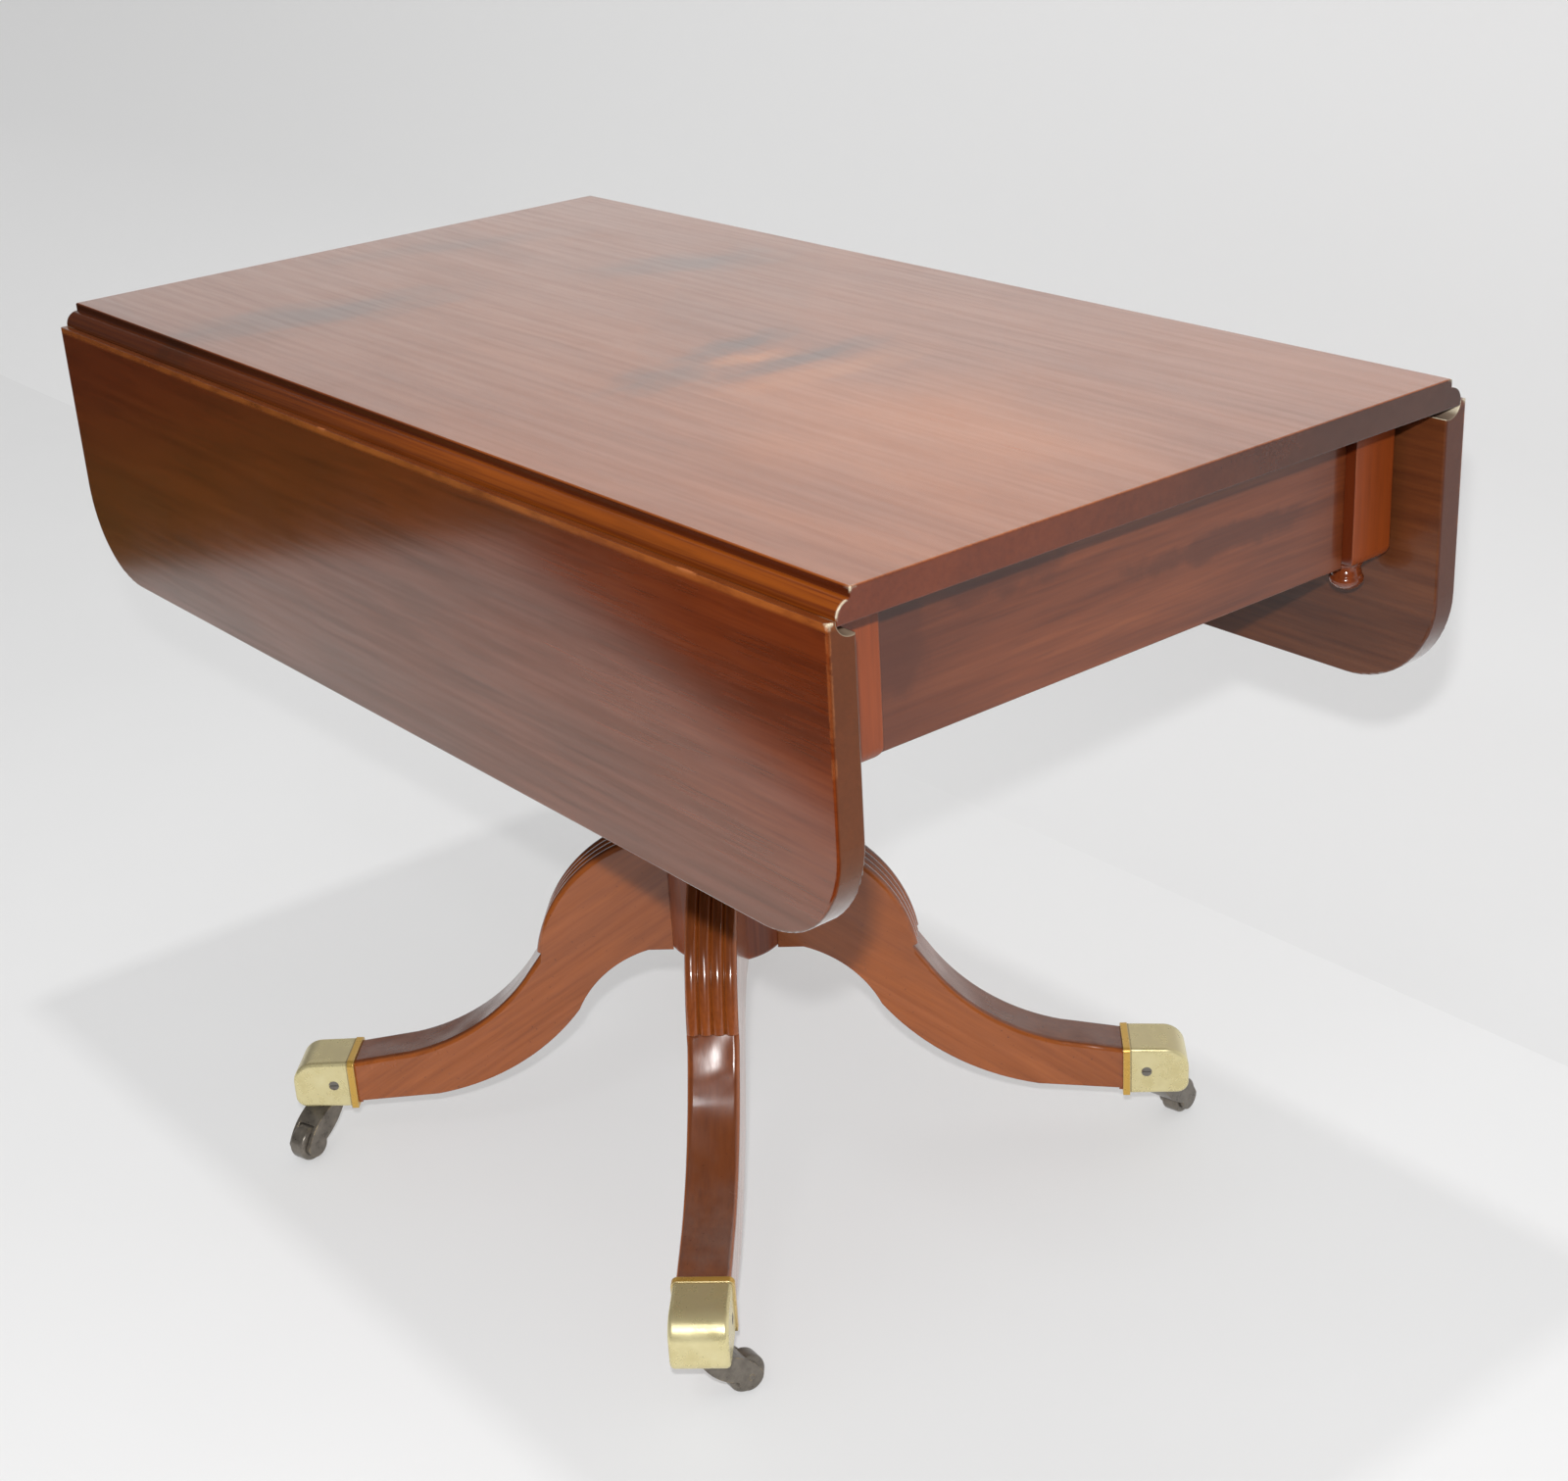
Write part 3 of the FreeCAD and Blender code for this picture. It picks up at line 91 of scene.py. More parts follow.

# greys of the stage, the share of each that shows whatever the light, and the floor's spot of painted shade
# under the lamp
FLOOR_GREY = (0.84, 0.84, 0.84)
CLOTH_GREY = (0.94, 0.94, 0.94)
CLOTH_GLOW = (0.79, 0.79, 0.79)
FLOOR_SHARE, CLOTH_SHARE = 0.46, 0.45
LAMP_FOOT = (1.40, -1.03, 0.0)

# the room's light from the sides and from overhead, and what polish and the camera see of it
DOME_LOW, DOME_HIGH = 0.41, 0.62
ROOM_SEEN = {"Is Glossy Ray": 0.07, "Is Camera Ray": 0.85}


class Shader:
    """A node material built in a few calls. A socket or a plain value may stand for any input."""

    def __init__(self, name):
        self.material = bpy.data.materials.new(name)
        self.material.use_nodes = True
        self.tree = self.material.node_tree
        self.tree.nodes.clear()
        self.out = self.tree.nodes.new("ShaderNodeOutputMaterial")

    def put(self, socket, value):
        """Links a socket, or sets a plain value."""
        if isinstance(value, bpy.types.NodeSocket):
            self.tree.links.new(value, socket)
        elif isinstance(value, tuple) and len(value) == 3 and socket.type == "RGBA":
            socket.default_value = (*value, 1.0)
        else:
            socket.default_value = value

    def node(self, kind, inputs=None, **settings):
        """A new node with the given settings and inputs."""
        made = self.tree.nodes.new(kind)
        for key, value in settings.items():
            setattr(made, key, value)
        for key, value in (inputs or {}).items():
            self.put(made.inputs[key], value)
        return made

    def place(self):
        """The point on the object, in metres of the frame."""
        return self.node("ShaderNodeTexCoord").outputs["Object"]

    def normal(self):
        """The surface's own normal."""
        return self.node("ShaderNodeNewGeometry").outputs["Normal"]

    def facing(self):
        """The surface's own normal, as three numbers."""
        return self.axes(self.normal())

    def axes(self, vector):
        """The three numbers of a vector."""
        split = self.node("ShaderNodeSeparateXYZ", {0: vector})
        return split.outputs[0], split.outputs[1], split.outputs[2]

    def join(self, x, y, z):
        """A vector of three numbers."""
        return self.node("ShaderNodeCombineXYZ", {0: x, 1: y, 2: z}).outputs[0]

    def along_grain(self, point, grain):
        """The point with the grain's axis first."""
        x, y, z = self.axes(point)
        return self.join(*{"x": (x, y, z), "y": (y, x, z), "z": (z, x, y)}[grain])

    def turned(self, vector, about_z=0.0, about_y=0.0):
        """The point in a frame that is turned about Z and then about its own Y."""
        step = self.node("ShaderNodeVectorRotate", {"Vector": vector, "Angle": math.radians(-about_z)},
                         rotation_type="Z_AXIS").outputs[0]
        if not about_y:
            return step
        return self.node("ShaderNodeVectorRotate", {"Vector": step, "Angle": math.radians(-about_y)},
                         rotation_type="Y_AXIS").outputs[0]

    def scaled(self, vector, x, y, z):
        """The vector with each axis scaled."""
        made = self.node("ShaderNodeVectorMath", {0: vector, 1: (x, y, z)}, operation="MULTIPLY")
        return made.outputs[0]

    def shifted(self, vector, x, y, z):
        """The vector moved along each axis."""
        return self.node("ShaderNodeVectorMath", {0: vector, 1: (x, y, z)}, operation="ADD").outputs[0]

    def length(self, vector):
        """The length of a vector."""
        return self.node("ShaderNodeVectorMath", {0: vector}, operation="LENGTH").outputs["Value"]

    def math(self, operation, a, b=0.0, clamp=False):
        """One step of arithmetic."""
        return self.node("ShaderNodeMath", {0: a, 1: b}, operation=operation, use_clamp=clamp).outputs[0]

    def plus(self, a, b, clamp=False):
        """The sum of two values."""
        return self.math("ADD", a, b, clamp)

    def minus(self, a, b):
        """The first value less the second."""
        return self.math("SUBTRACT", a, b)

    def times(self, a, b):
        """The product of two values."""
        return self.math("MULTIPLY", a, b)

    def larger(self, a, b):
        """The larger of two values."""
        return self.math("MAXIMUM", a, b)

    def size(self, value):
        """The value without its sign."""
        return self.math("ABSOLUTE", value)

    def noise(self, vector, scale=1.0, detail=4.0, roughness=0.55, distortion=0.0):
        """Soft noise from about 0.2 to 0.8."""
        made = self.node("ShaderNodeTexNoise", {"Vector": vector, "Scale": scale, "Detail": detail,
                                                "Roughness": roughness, "Distortion": distortion})
        return made.outputs[0]

    def band(self, value, low, high, to_low=0.0, to_high=1.0, smooth=True):
        """The value carried from one range to another, held at its ends."""
        made = self.node("ShaderNodeMapRange", {"Value": value, "From Min": low, "From Max": high,
                                                "To Min": to_low, "To Max": to_high})
        made.interpolation_type = "SMOOTHSTEP" if smooth else "LINEAR"
        return made.outputs[0]

    def mix(self, factor, a, b, blend="MIX"):
        """Two colours mixed by a factor."""
        made = self.node("ShaderNodeMix", data_type="RGBA", blend_type=blend)
        for number, value in ((0, factor), (6, a), (7, b)):
            self.put(made.inputs[number], value)
        return made.outputs[2]

    def tinted(self, colour, tint):
        """A colour multiplied by another."""
        return self.mix(1.0, colour, tint, blend="MULTIPLY")

    def ramp(self, factor, *stops):
        """A colour picked along a row of stops."""
        made = self.node("ShaderNodeValToRGB", {0: factor})
        elements = made.color_ramp.elements
        while len(elements) < len(stops):
            elements.new(0.5)
        for element, (position, colour) in zip(elements, stops):
            element.position = position
            element.color = (*colour, 1.0)
        return made.outputs[0]

    def bump(self, height, strength, distance, normal=None):
        """The normal roughened by a height."""
        inputs = {"Height": height, "Strength": strength, "Distance": distance}
        if normal is not None:
            inputs["Normal"] = normal
        return self.node("ShaderNodeBump", inputs).outputs[0]

    def softened(self, radius):
        """The normal with sharp edges rounded off."""
        return self.node("ShaderNodeBevel", {"Radius": radius}, samples=6).outputs[0]

    def edges(self, radius, soft_normal=None):
        """About 1 along sharp edges within the radius, 0 on flat faces."""
        soft_normal = soft_normal or self.softened(radius)
        dot = self.node("ShaderNodeVectorMath", {0: soft_normal, 1: self.normal()}, operation="DOT_PRODUCT")
        flat, sharp = 0.995, 0.86
        return self.band(dot.outputs["Value"], flat, sharp)

    def patch(self, point, centre, radii, about_z=0.0, ragged=0.5, grit=60.0, core=0.45, drawn_out=False):
        """A ragged patch about a centre: 1 in its core, 0 beyond its radii.

        drawn_out stretches the rags along with the patch.
        """
        local = self.shifted(point, *(-c for c in centre))
        if about_z:
            local = self.turned(local, about_z)
        local = self.scaled(local, *(1.0 / r for r in radii))
        rag = self.noise(local if drawn_out else point, scale=grit, detail=5.0)
        rag = self.times(self.minus(rag, 0.5), ragged * 2.0)
        return self.band(self.plus(self.length(local), rag), 1.0, core)

    def surface(self, **sockets):
        """Ends the material in a Principled shader with the given sockets."""
        bsdf = self.node("ShaderNodeBsdfPrincipled")
        for key, value in sockets.items():
            self.put(bsdf.inputs[key.replace("_", " ").title().replace("Ior", "IOR")], value)
        self.tree.links.new(bsdf.outputs[0], self.out.inputs[0])
        return self.material


def mahogany(name, grain="x", about_z=0.0, about_y=0.0, tone=(1.0, 1.0, 1.0), contrast=1.0, gloss=0.30,
             seed=0.0, edge_wear=0.35, coat=0.5, coat_rough=0.08, specular=0.5,
             specular_tint=(1.0, 1.0, 1.0), lumps=0.0, extra=None):
    """Polished old mahogany with its grain along one axis of a frame of its own.

    extra(shader, point, colour, rough, coat) returns the last three changed by the piece's own marks.
    """
    shader = Shader(name)
    point = shader.place()
    local = shader.turned(point, about_z, about_y) if about_z or about_y else point
    fibre = shader.shifted(shader.along_grain(local, grain), seed, seed * 0.37, seed * 0.71)

    drift = shader.noise(shader.scaled(fibre, 1.3, 6.0, 6.0), detail=3.0, distortion=0.5)
    cloud = shader.noise(shader.scaled(fibre, 3.2, 26.0, 26.0), detail=4.0, roughness=0.6, distortion=0.4)
    streak = shader.noise(shader.scaled(fibre, 6.0, 150.0, 150.0), detail=2.0, roughness=0.62)
    fine = shader.noise(shader.scaled(fibre, 14.0, 330.0, 330.0), detail=1.0, roughness=0.65)
    pores = shader.noise(shader.scaled(fibre, 26.0, 400.0, 400.0), detail=1.0, roughness=0.5)

    middle, spread = 0.67, 1.7 * contrast
    body = shader.times(drift, 0.50)
    for layer, share in ((cloud, 0.34), (streak, 0.28), (fine, 0.22)):
        body = shader.plus(body, shader.times(layer, share))
    body = shader.plus(shader.times(shader.minus(body, middle), spread), 0.5, clamp=True)
    colour = shader.ramp(body, (0.0, DARK), (0.30, BROWN), (0.58, RED), (1.0, ORANGE))
    colour = shader.mix(shader.band(pores, 0.55, 0.72, 0.0, 0.14), colour, DARK)
    colour = shader.tinted(colour, tone)

    edge_radius = 0.0014
    soft = shader.softened(edge_radius)
    wear = shader.noise(point, scale=55.0, detail=5.0, roughness=0.7)
    edge = shader.times(shader.edges(edge_radius, soft), shader.band(wear, 0.40, 0.66))
    colour = shader.mix(shader.times(edge, edge_wear), colour, GOLD)

    smear = shader.noise(point, scale=7.0, detail=6.0, roughness=0.65)
    rough = shader.band(smear, 0.30, 0.72, gloss - 0.02, gloss + 0.04)
    if extra:
        colour, rough, coat = extra(shader, point, colour, rough, coat)
    coat = shader.times(coat, shader.band(streak, 0.34, 0.66, 0.80, 1.12, smooth=False))

    normal = shader.bump(shader.noise(point, scale=9.0, detail=2.0), 0.04, 0.003, soft)
    if lumps:
        strength = shader.band(shader.facing()[2], 0.05, 0.35, 0.0, lumps)
        normal = shader.bump(shader.noise(point, scale=34.0, detail=0.0), strength, 0.004, normal)
    normal = shader.bump(streak, 0.06, 0.0008, normal)
    return shader.surface(base_color=colour, roughness=rough, normal=normal, ior=1.5, coat_weight=coat,
                          coat_roughness=coat_rough, coat_ior=1.5, specular_ior_level=specular,
                          specular_tint=specular_tint)


def moulding_tint(shader, point):
    """Tint of the top's edges: orange ovolo with grain and painted highlight stripes, painted shade on the
    fillet, darker to the left and at the ends.
    """
    x, y, z = shader.axes(point)
    facing_x, facing_y, _ = (shader.size(way) for way in shader.facing())
    # Lengthwise lines along the ovolo: grain lines, the pale ones partly painted highlight stripes.
    lines = shader.noise(shader.scaled(point, 2.5, 420.0, 420.0), detail=3.0, roughness=0.6)
    pale_line_and_highlight, deep_line = (0.78, 0.62, 0.18), (0.44, 0.28, 0.10)
    side = shader.mix(shader.band(lines, 0.40, 0.66), pale_line_and_highlight, deep_line)
    # Painted shade on the fillet, the narrow upright face just under the top's edge.
    fillet_edge = TOP_Z - FILLET_DEPTH
    fillet = shader.times(shader.band(facing_y, 0.90, 0.97),
                          shader.band(z, fillet_edge - 0.0010, fillet_edge + 0.0002))
    fillet_painted_shade, left_dark = (0.30, 0.17, 0.12), (0.26, 0.17, 0.08)
    side = shader.mix(fillet, side, fillet_painted_shade)
    side = shader.mix(shader.band(x, 0.15, -0.40, 0.0, 0.70), side, left_dark)
    near_end, far_end = (0.46, 0.29, 0.25), (0.22, 0.18, 0.20)
    end = shader.mix(shader.band(y, -0.20, 0.22), near_end, far_end)
    return shader.mix(shader.band(facing_x, 0.80, 0.95), side, end)


def top_figure(shader, point, colour, rough, coat):
    """Smoky and orange flashes across the centre board, a warm stretch, dark edges with painted shade on the
    fillet, and knocked corners that are partly painted glints.
    """
    for flashes, tint in ((SMOKE_FLASHES, SMOKE), (ORANGE_FLASHES, FLASH)):
        for (x, y), spread, turn, depth in flashes:
            mask = shader.patch(point, (x, y, TOP_Z), (*spread, FLASH_DEPTH), about_z=turn, ragged=0.7,
                                grit=2.4, core=0.05, drawn_out=True)
            colour = shader.mix(shader.times(mask, depth), colour, tint)
    warm = shader.patch(point, WARM_SPOT, WARM_SPREAD, ragged=0.6, grit=1.6, core=0.0, drawn_out=True)
    colour = shader.mix(shader.times(warm, 0.42), colour, WARM)
    scuff = shader.noise(shader.scaled(point, 16.0, 3.0, 3.0), detail=7.0, roughness=0.7)
    rough = shader.plus(rough, shader.band(scuff, 0.5, 0.7, 0.0, 0.05))

    height = shader.axes(point)[2]
    moulding = shader.band(height, TOP_Z - 0.0001, TOP_Z - 0.0005)
    colour = shader.mix(moulding, colour, shader.tinted(colour, moulding_tint(shader, point)))
    rim = shader.edges(0.0030)
    # Pale chips on the top's corners; those at the near corner are also painted glints of light.
    for centre, radii in TOP_CHIPS_AND_GLINTS:
        chip_and_glint = shader.times(shader.patch(point, centre, radii, ragged=0.6, grit=420.0), rim)
        colour = shader.mix(shader.times(chip_and_glint, 0.75), colour, CREAM)
    return colour, rough, shader.band(moulding, 0.0, 1.0, coat, coat * 0.25)


def leaf_wear(side):
    """Bare wood at the cove's ends, a rubbed lip along the top that also holds a painted highlight, a dark
    edge and knocks on it.
    """
    sign = -1.0 if side == "near" else 1.0

    def extra(shader, point, colour, rough, coat):
        x, y, z = shader.axes(point)
        rub_and_highlight_noise = shader.noise(shader.scaled(point, 22.0, 60.0, 60.0), detail=5.0, roughness=0.7)
        # The lip along the top: rubbed wood, and a painted highlight along its rounded edge.
        lip = shader.times(shader.band(z, PIN_Z - 0.0065, PIN_Z - 0.0030),
                           shader.band(rub_and_highlight_noise, 0.30, 0.62, 0.35, 1.0))
        colour = shader.mix(shader.times(lip, 0.8), colour, RUBBED_AND_HIGHLIGHT)

        from_pin = shader.shifted(shader.join(0.0, y, z), 0.0, -PIN_Y * sign, -PIN_Z)
        in_cove = shader.band(shader.length(from_pin), COVE_RADIUS + 0.0007, COVE_RADIUS + 0.0003)
        bare = shader.times(in_cove, shader.band(rub_and_highlight_noise, 0.25, 0.55, 0.7, 1.0))
        at_end = shader.band(shader.size(x), TOP_END - 0.0180, TOP_END - 0.0080)
        cove_brown = (0.110, 0.034, 0.012)
        colour = shader.mix(bare, colour, shader.mix(at_end, cove_brown, CREAM))
        rough = shader.plus(rough, shader.times(bare, 0.4))

        _, facing_y, facing_z = shader.facing()
        flat = shader.size(facing_y)
        colour = shader.mix(shader.band(flat, 0.9, 0.5, 0.0, 0.75), colour, DARK)
        rim = shader.edges(0.0050)
        for (along, out, up), radii, tint in LEAF_KNOCKS:
            patch = shader.patch(point, (along, out * sign, up), radii, ragged=0.7, grit=300.0)
            colour = shader.mix(shader.times(shader.times(patch, rim), 0.9), colour, tint)
        below = shader.band(facing_z, -0.15, -0.60)
        return colour, rough, shader.larger(below, shader.band(flat, 0.6, 0.95, coat * 0.1, coat))
    return extra


def rail_figure(shader, point, colour, rough, coat):
    """Dark clouds on the end rail, and painted shade: a darker stretch beside the near post."""
    for centre, radii in RAIL_CLOUDS:
        cloud = shader.patch(point, centre, radii, ragged=0.8, grit=40.0)
        colour = shader.mix(shader.times(cloud, 0.65), colour, DARK)
    # Painted shade: the rail is darkened beside the near post.
    across = shader.axes(point)[1]
    shade = shader.band(across, -0.235, -0.06, 0.65, 0.0)
    return shader.mix(shade, colour, DARK), rough, coat


def post_polish(shader, point, colour, rough, coat):
    """Orange outer face; the returns, turned to the sides, darkened as painted shade."""
    sideways = shader.size(shader.facing()[1])
    # Painted shade on the returns, the faces turned towards the sides.
    dark = shader.tinted(colour, (0.42, 0.34, 0.34))
    return shader.mix(shader.band(sideways, 0.5, 0.8), colour, dark), rough, coat


def leg_polish(angle, dust_and_sheen_amount):
    """Old polish of the leg at an angle: painted shade on top, a grey painted sheen on the reeds, dusty with
    a painted sheen near the toe, specked.
    """
    def extra(shader, point, colour, rough, coat):
        normal = shader.normal()
        sideways = shader.size(shader.axes(shader.turned(normal, angle))[1])
        upward = shader.axes(normal)[2]
        reach = shader.axes(shader.turned(point, angle))[0]
        # Painted shade darkens the leg's top; a darker, greyer tint on the reeds and lower faces is painted
        # shade and sheen.
        under_sheen_tint, top_shade_tint = (0.86, 0.82, 1.00), (0.50, 0.46, 0.46)
        dust_and_sheen_grey, speck_brown = (0.25, 0.25, 0.24), (0.06, 0.02, 0.01)
        shade_sheen_and_dust_tone = shader.tinted(colour, shader.mix(shader.band(upward, 0.2, 0.8), under_sheen_tint, top_shade_tint))
        cloud = shader.noise(point, scale=24.0, detail=4.0)
        # Greyed near the toe on the leg's top: part dusty, part a painted sheen of reflected light.
        dust_and_sheen = shader.times(shader.band(reach, 0.16, 0.33, 0.01, dust_and_sheen_amount),
                            shader.band(cloud, 0.3, 0.7, 0.5, 1.3))
        shade_sheen_and_dust_tone = shader.mix(shader.times(dust_and_sheen, shader.band(upward, 0.3, 0.8)), shade_sheen_and_dust_tone, dust_and_sheen_grey)
        colour = shader.mix(shader.band(sideways, 0.80, 0.45), colour, shade_sheen_and_dust_tone)
        specks = shader.noise(point, scale=420.0, detail=2.0, roughness=0.4)
        colour = shader.mix(shader.band(specks, 0.70, 0.78, 0.0, 0.6), colour, speck_brown)
        return colour, rough, shader.band(upward, 0.7, 0.99, coat, coat * 0.8)
    return extra


def raw_wood(name, grain, seed):
    """Bare, old wood of the hidden frame."""
    shader = Shader(name)
    point = shader.place()
    fibre = shader.shifted(shader.along_grain(point, grain), seed, seed, seed)
    streak = shader.noise(shader.scaled(fibre, 3.0, 60.0, 60.0), detail=6.0, roughness=0.6, distortion=0.4)
    fine = shader.noise(shader.scaled(fibre, 14.0, 420.0, 420.0), detail=4.0)
    grime = shader.noise(point, scale=9.0, detail=5.0)
    line_brown, dirt = (0.100, 0.050, 0.024), (0.060, 0.036, 0.022)
    colour = shader.ramp(streak, (0.30, (0.120, 0.062, 0.030)), (0.70, (0.290, 0.170, 0.085)))
    colour = shader.mix(shader.band(fine, 0.45, 0.75, 0.0, 0.5), colour, line_brown)
    colour = shader.mix(shader.band(grime, 0.50, 0.80, 0.0, 0.6), colour, dirt)
    return shader.surface(base_color=colour, roughness=0.72, normal=shader.bump(fine, 0.20, 0.0006))


def old_brass(name, angle):
    """Pale brass of a toe cap on the leg at an angle, brown on top as a painted reflection of the dark table
    above, golden at the ring.
    """
    shader = Shader(name)
    point = shader.place()
    reach = shader.axes(shader.turned(point, angle))[0]
    cloud = shader.noise(point, scale=55.0, detail=5.0, roughness=0.65)
    spots = shader.noise(point, scale=300.0, detail=4.0, roughness=0.7)
    spot_brown, top_reflection_brown, crease_brown = (0.400, 0.310, 0.150), (0.400, 0.310, 0.165), (0.220, 0.140, 0.050)
    ring_gold, edge_gold = (0.640, 0.390, 0.085), (0.840, 0.740, 0.440)
    colour = shader.ramp(cloud, (0.28, (0.660, 0.570, 0.285)), (0.55, (0.750, 0.665, 0.365)),
                         (0.80, (0.810, 0.735, 0.430)))
    colour = shader.mix(shader.band(spots, 0.60, 0.80, 0.0, 0.30), colour, spot_brown)
    # Painted reflection: the cap's upper faces are browned as if mirroring the dark table above.
    top_reflection = shader.times(shader.band(shader.facing()[2], 0.45, 0.92),
                        shader.band(cloud, 0.30, 0.62, 0.55, 1.0))
    colour = shader.mix(shader.times(top_reflection, 0.48), colour, top_reflection_brown)
    in_ring = shader.band(reach, CAP_RING_REACH + 0.0005, CAP_RING_REACH - 0.0005)
    colour = shader.mix(in_ring, colour, ring_gold)
    crease = shader.times(shader.band(reach, CAP_RING_REACH - 0.0002, CAP_RING_REACH + 0.0004),
                          shader.band(reach, CAP_RING_REACH + 0.0016, CAP_RING_REACH + 0.0008))
    colour = shader.mix(shader.times(crease, 0.7), colour, crease_brown)
    edge_radius = 0.0012
    colour = shader.mix(shader.times(shader.edges(edge_radius), 0.4), colour, edge_gold)
    rough = shader.band(cloud, 0.30, 0.75, 0.24, 0.38)
    normal = shader.bump(spots, 0.04, 0.0006, shader.softened(edge_radius))
    return shader.surface(base_color=colour, metallic=0.55, roughness=rough, normal=normal)


def dark_bronze(name):
    """Brown, dusty castor metal with brighter worn rims."""
    shader = Shader(name)
    cloud = shader.noise(shader.place(), scale=85.0, detail=5.0, roughness=0.7)
    colour = shader.ramp(cloud, (0.30, (0.105, 0.091, 0.075)), (0.62, (0.205, 0.180, 0.150)),
                         (0.85, (0.310, 0.272, 0.218)))
    worn = shader.times(shader.edges(0.0014), shader.band(cloud, 0.44, 0.64))
    worn_gold = (0.480, 0.360, 0.180)
    colour = shader.mix(shader.times(worn, 0.75), colour, worn_gold)
    rough = shader.band(cloud, 0.3, 0.8, 0.26, 0.46)
    normal = shader.bump(cloud, 0.12, 0.0008, shader.softened(0.0012))
    return shader.surface(base_color=colour, metallic=0.50, roughness=rough, normal=normal)


def dull_iron(name, tone):
    """Dull iron or steel with rusty spots."""
    shader = Shader(name)
    rust = shader.noise(shader.place(), scale=120.0, detail=6.0, roughness=0.7)
    rust_brown = (0.150, 0.075, 0.036)
    colour = shader.mix(shader.band(rust, 0.46, 0.70), tone, rust_brown)
    rough = shader.band(rust, 0.3, 0.7, 0.42, 0.72)
    return shader.surface(base_color=colour, metallic=0.6, roughness=rough,
                          normal=shader.bump(rust, 0.2, 0.0006))


def paint(name, material):
    """Gives a CAD node one material."""
    slots = nodes[name].data.materials
    slots.clear()
    slots.append(material)


def paint_top():
    """Materials of the top and the leaves, whose darker tones are painted shade."""
    paint("centre_top", mahogany("top_polish", "x", seed=3.1, contrast=0.50, gloss=0.20,
                                 tone=(1.12, 1.44, 1.36), coat=0.9, edge_wear=0.12, extra=top_figure))
    # The leaves' tones are darker than the top's as painted shade; the wood is the same.
    paint("near_leaf", mahogany("near_leaf_polish", "x", seed=7.4, contrast=1.1, gloss=0.14,
                                tone=(0.60, 0.46, 0.36), coat=0.85, specular=0.65,
                                specular_tint=(1.0, 0.70, 0.38), extra=leaf_wear("near")))
    paint("far_leaf", mahogany("far_leaf_polish", "x", seed=11.9, contrast=1.0, gloss=0.30,
                               tone=(0.50, 0.66, 0.86), coat=0.3, extra=leaf_wear("far")))


def paint_frame():
    """Materials of the frieze, the fly brackets and what carries the pedestal."""
    for number, end in enumerate(ENDS):
        paint(f"{end}_end_rail", mahogany(f"{end}_end_rail_polish", "y", seed=2.2 + number, contrast=1.1,
                                          gloss=0.30, tone=(0.74, 0.80, 0.90), coat=0.3, extra=rail_figure))
        paint(f"{end}_bearer", raw_wood(f"{end}_bearer_wood", "y", 6.2))
    for number, corner in enumerate(CORNERS):
        paint(f"{corner}_post", mahogany(f"{corner}_post_polish", "z", seed=5.0 + number, gloss=0.34,
                                         contrast=0.6, tone=(1.08, 0.92, 0.45), coat=0.12,
                                         extra=post_polish))
        paint(f"{corner}_finial", mahogany(f"{corner}_finial_polish", "z", seed=8.0 + number, gloss=0.16,
                                           tone=(0.8, 0.75, 0.75), coat=0.5, coat_rough=0.08))
    for side in SIDES:
        paint(f"{side}_side_rail", raw_wood(f"{side}_side_rail_wood", "x", 1.3))
        paint(f"{side}_fly_rail", raw_wood(f"{side}_fly_rail_wood", "x", 2.9))
        for end in ENDS:
            paint(f"{side}_{end}_fly", raw_wood(f"{side}_{end}_fly_wood", "x", 4.1))
    paint("pedestal_block", raw_wood("pedestal_block_wood", "x", 7.7))


def paint_pedestal():
    """Materials of the column, legs, caps and castors."""
    paint("column", mahogany("column_polish", "z", seed=13.0, gloss=0.24, coat=0.3, specular=0.3))
    bronze = dark_bronze("castor_bronze")
    leg_slope = 35.0
    for number, corner in enumerate(CORNERS):
        angle = LEG_ANGLES[corner] + PEDESTAL_TURN
        paint(f"{corner}_leg", mahogany(f"{corner}_leg_polish", "x", about_z=angle, about_y=leg_slope,
                                        seed=17.0 + number * 3.3, contrast=0.6, gloss=0.24,
                                        tone=(1.42, 1.68, 1.12), coat=0.8, coat_rough=0.10, specular=0.3,
                                        lumps=0.8, extra=leg_polish(angle, LEG_DUST_AND_SHEEN[corner])))
        paint(f"{corner}_toe_cap", old_brass(f"{corner}_cap_brass", angle))
        for piece in ("fork", "wheel", "axle"):
            paint(f"{corner}_castor_{piece}", bronze)


def paint_metal():
    """Materials of the hinges, pins and screws."""
    iron = dull_iron("iron", (0.055, 0.050, 0.046))
    steel = dull_iron("screw_steel", (0.200, 0.185, 0.165))
    for side in SIDES:
        for piece in ("plates", "straps", "pins"):
            paint(f"{side}_hinge_{piece}", iron)
        paint(f"{side}_strap_screws", steel)
    for name in ("fly_pins", "spider_plate"):
        paint(name, iron)
    for name in ("hinge_plate_screws", "block_screws", "spider_screws", "cap_screws"):
        paint(name, steel)


def whiten(shader, share, colour):
    """Lets a share of the stage show its own colour, whatever light falls on it."""
    lit = shader.out.inputs[0].links[0].from_socket
    glow = shader.node("ShaderNodeEmission", {"Color": colour})
    both = shader.node("ShaderNodeMixShader", {0: share, 1: lit, 2: glow.outputs[0]})
    shader.tree.links.new(both.outputs[0], shader.out.inputs[0])
    shader.material.cycles.emission_sampling = "NONE"


def clear_behind(shader):
    """Lets every ray through from the back."""
    front = shader.out.inputs[0].links[0].from_socket
    clear = shader.node("ShaderNodeBsdfTransparent")
    behind = shader.node("ShaderNodeNewGeometry").outputs["Backfacing"]
    both = shader.node("ShaderNodeMixShader", {0: behind, 1: front, 2: clear.outputs[0]})
    shader.tree.links.new(both.outputs[0], shader.out.inputs[0])


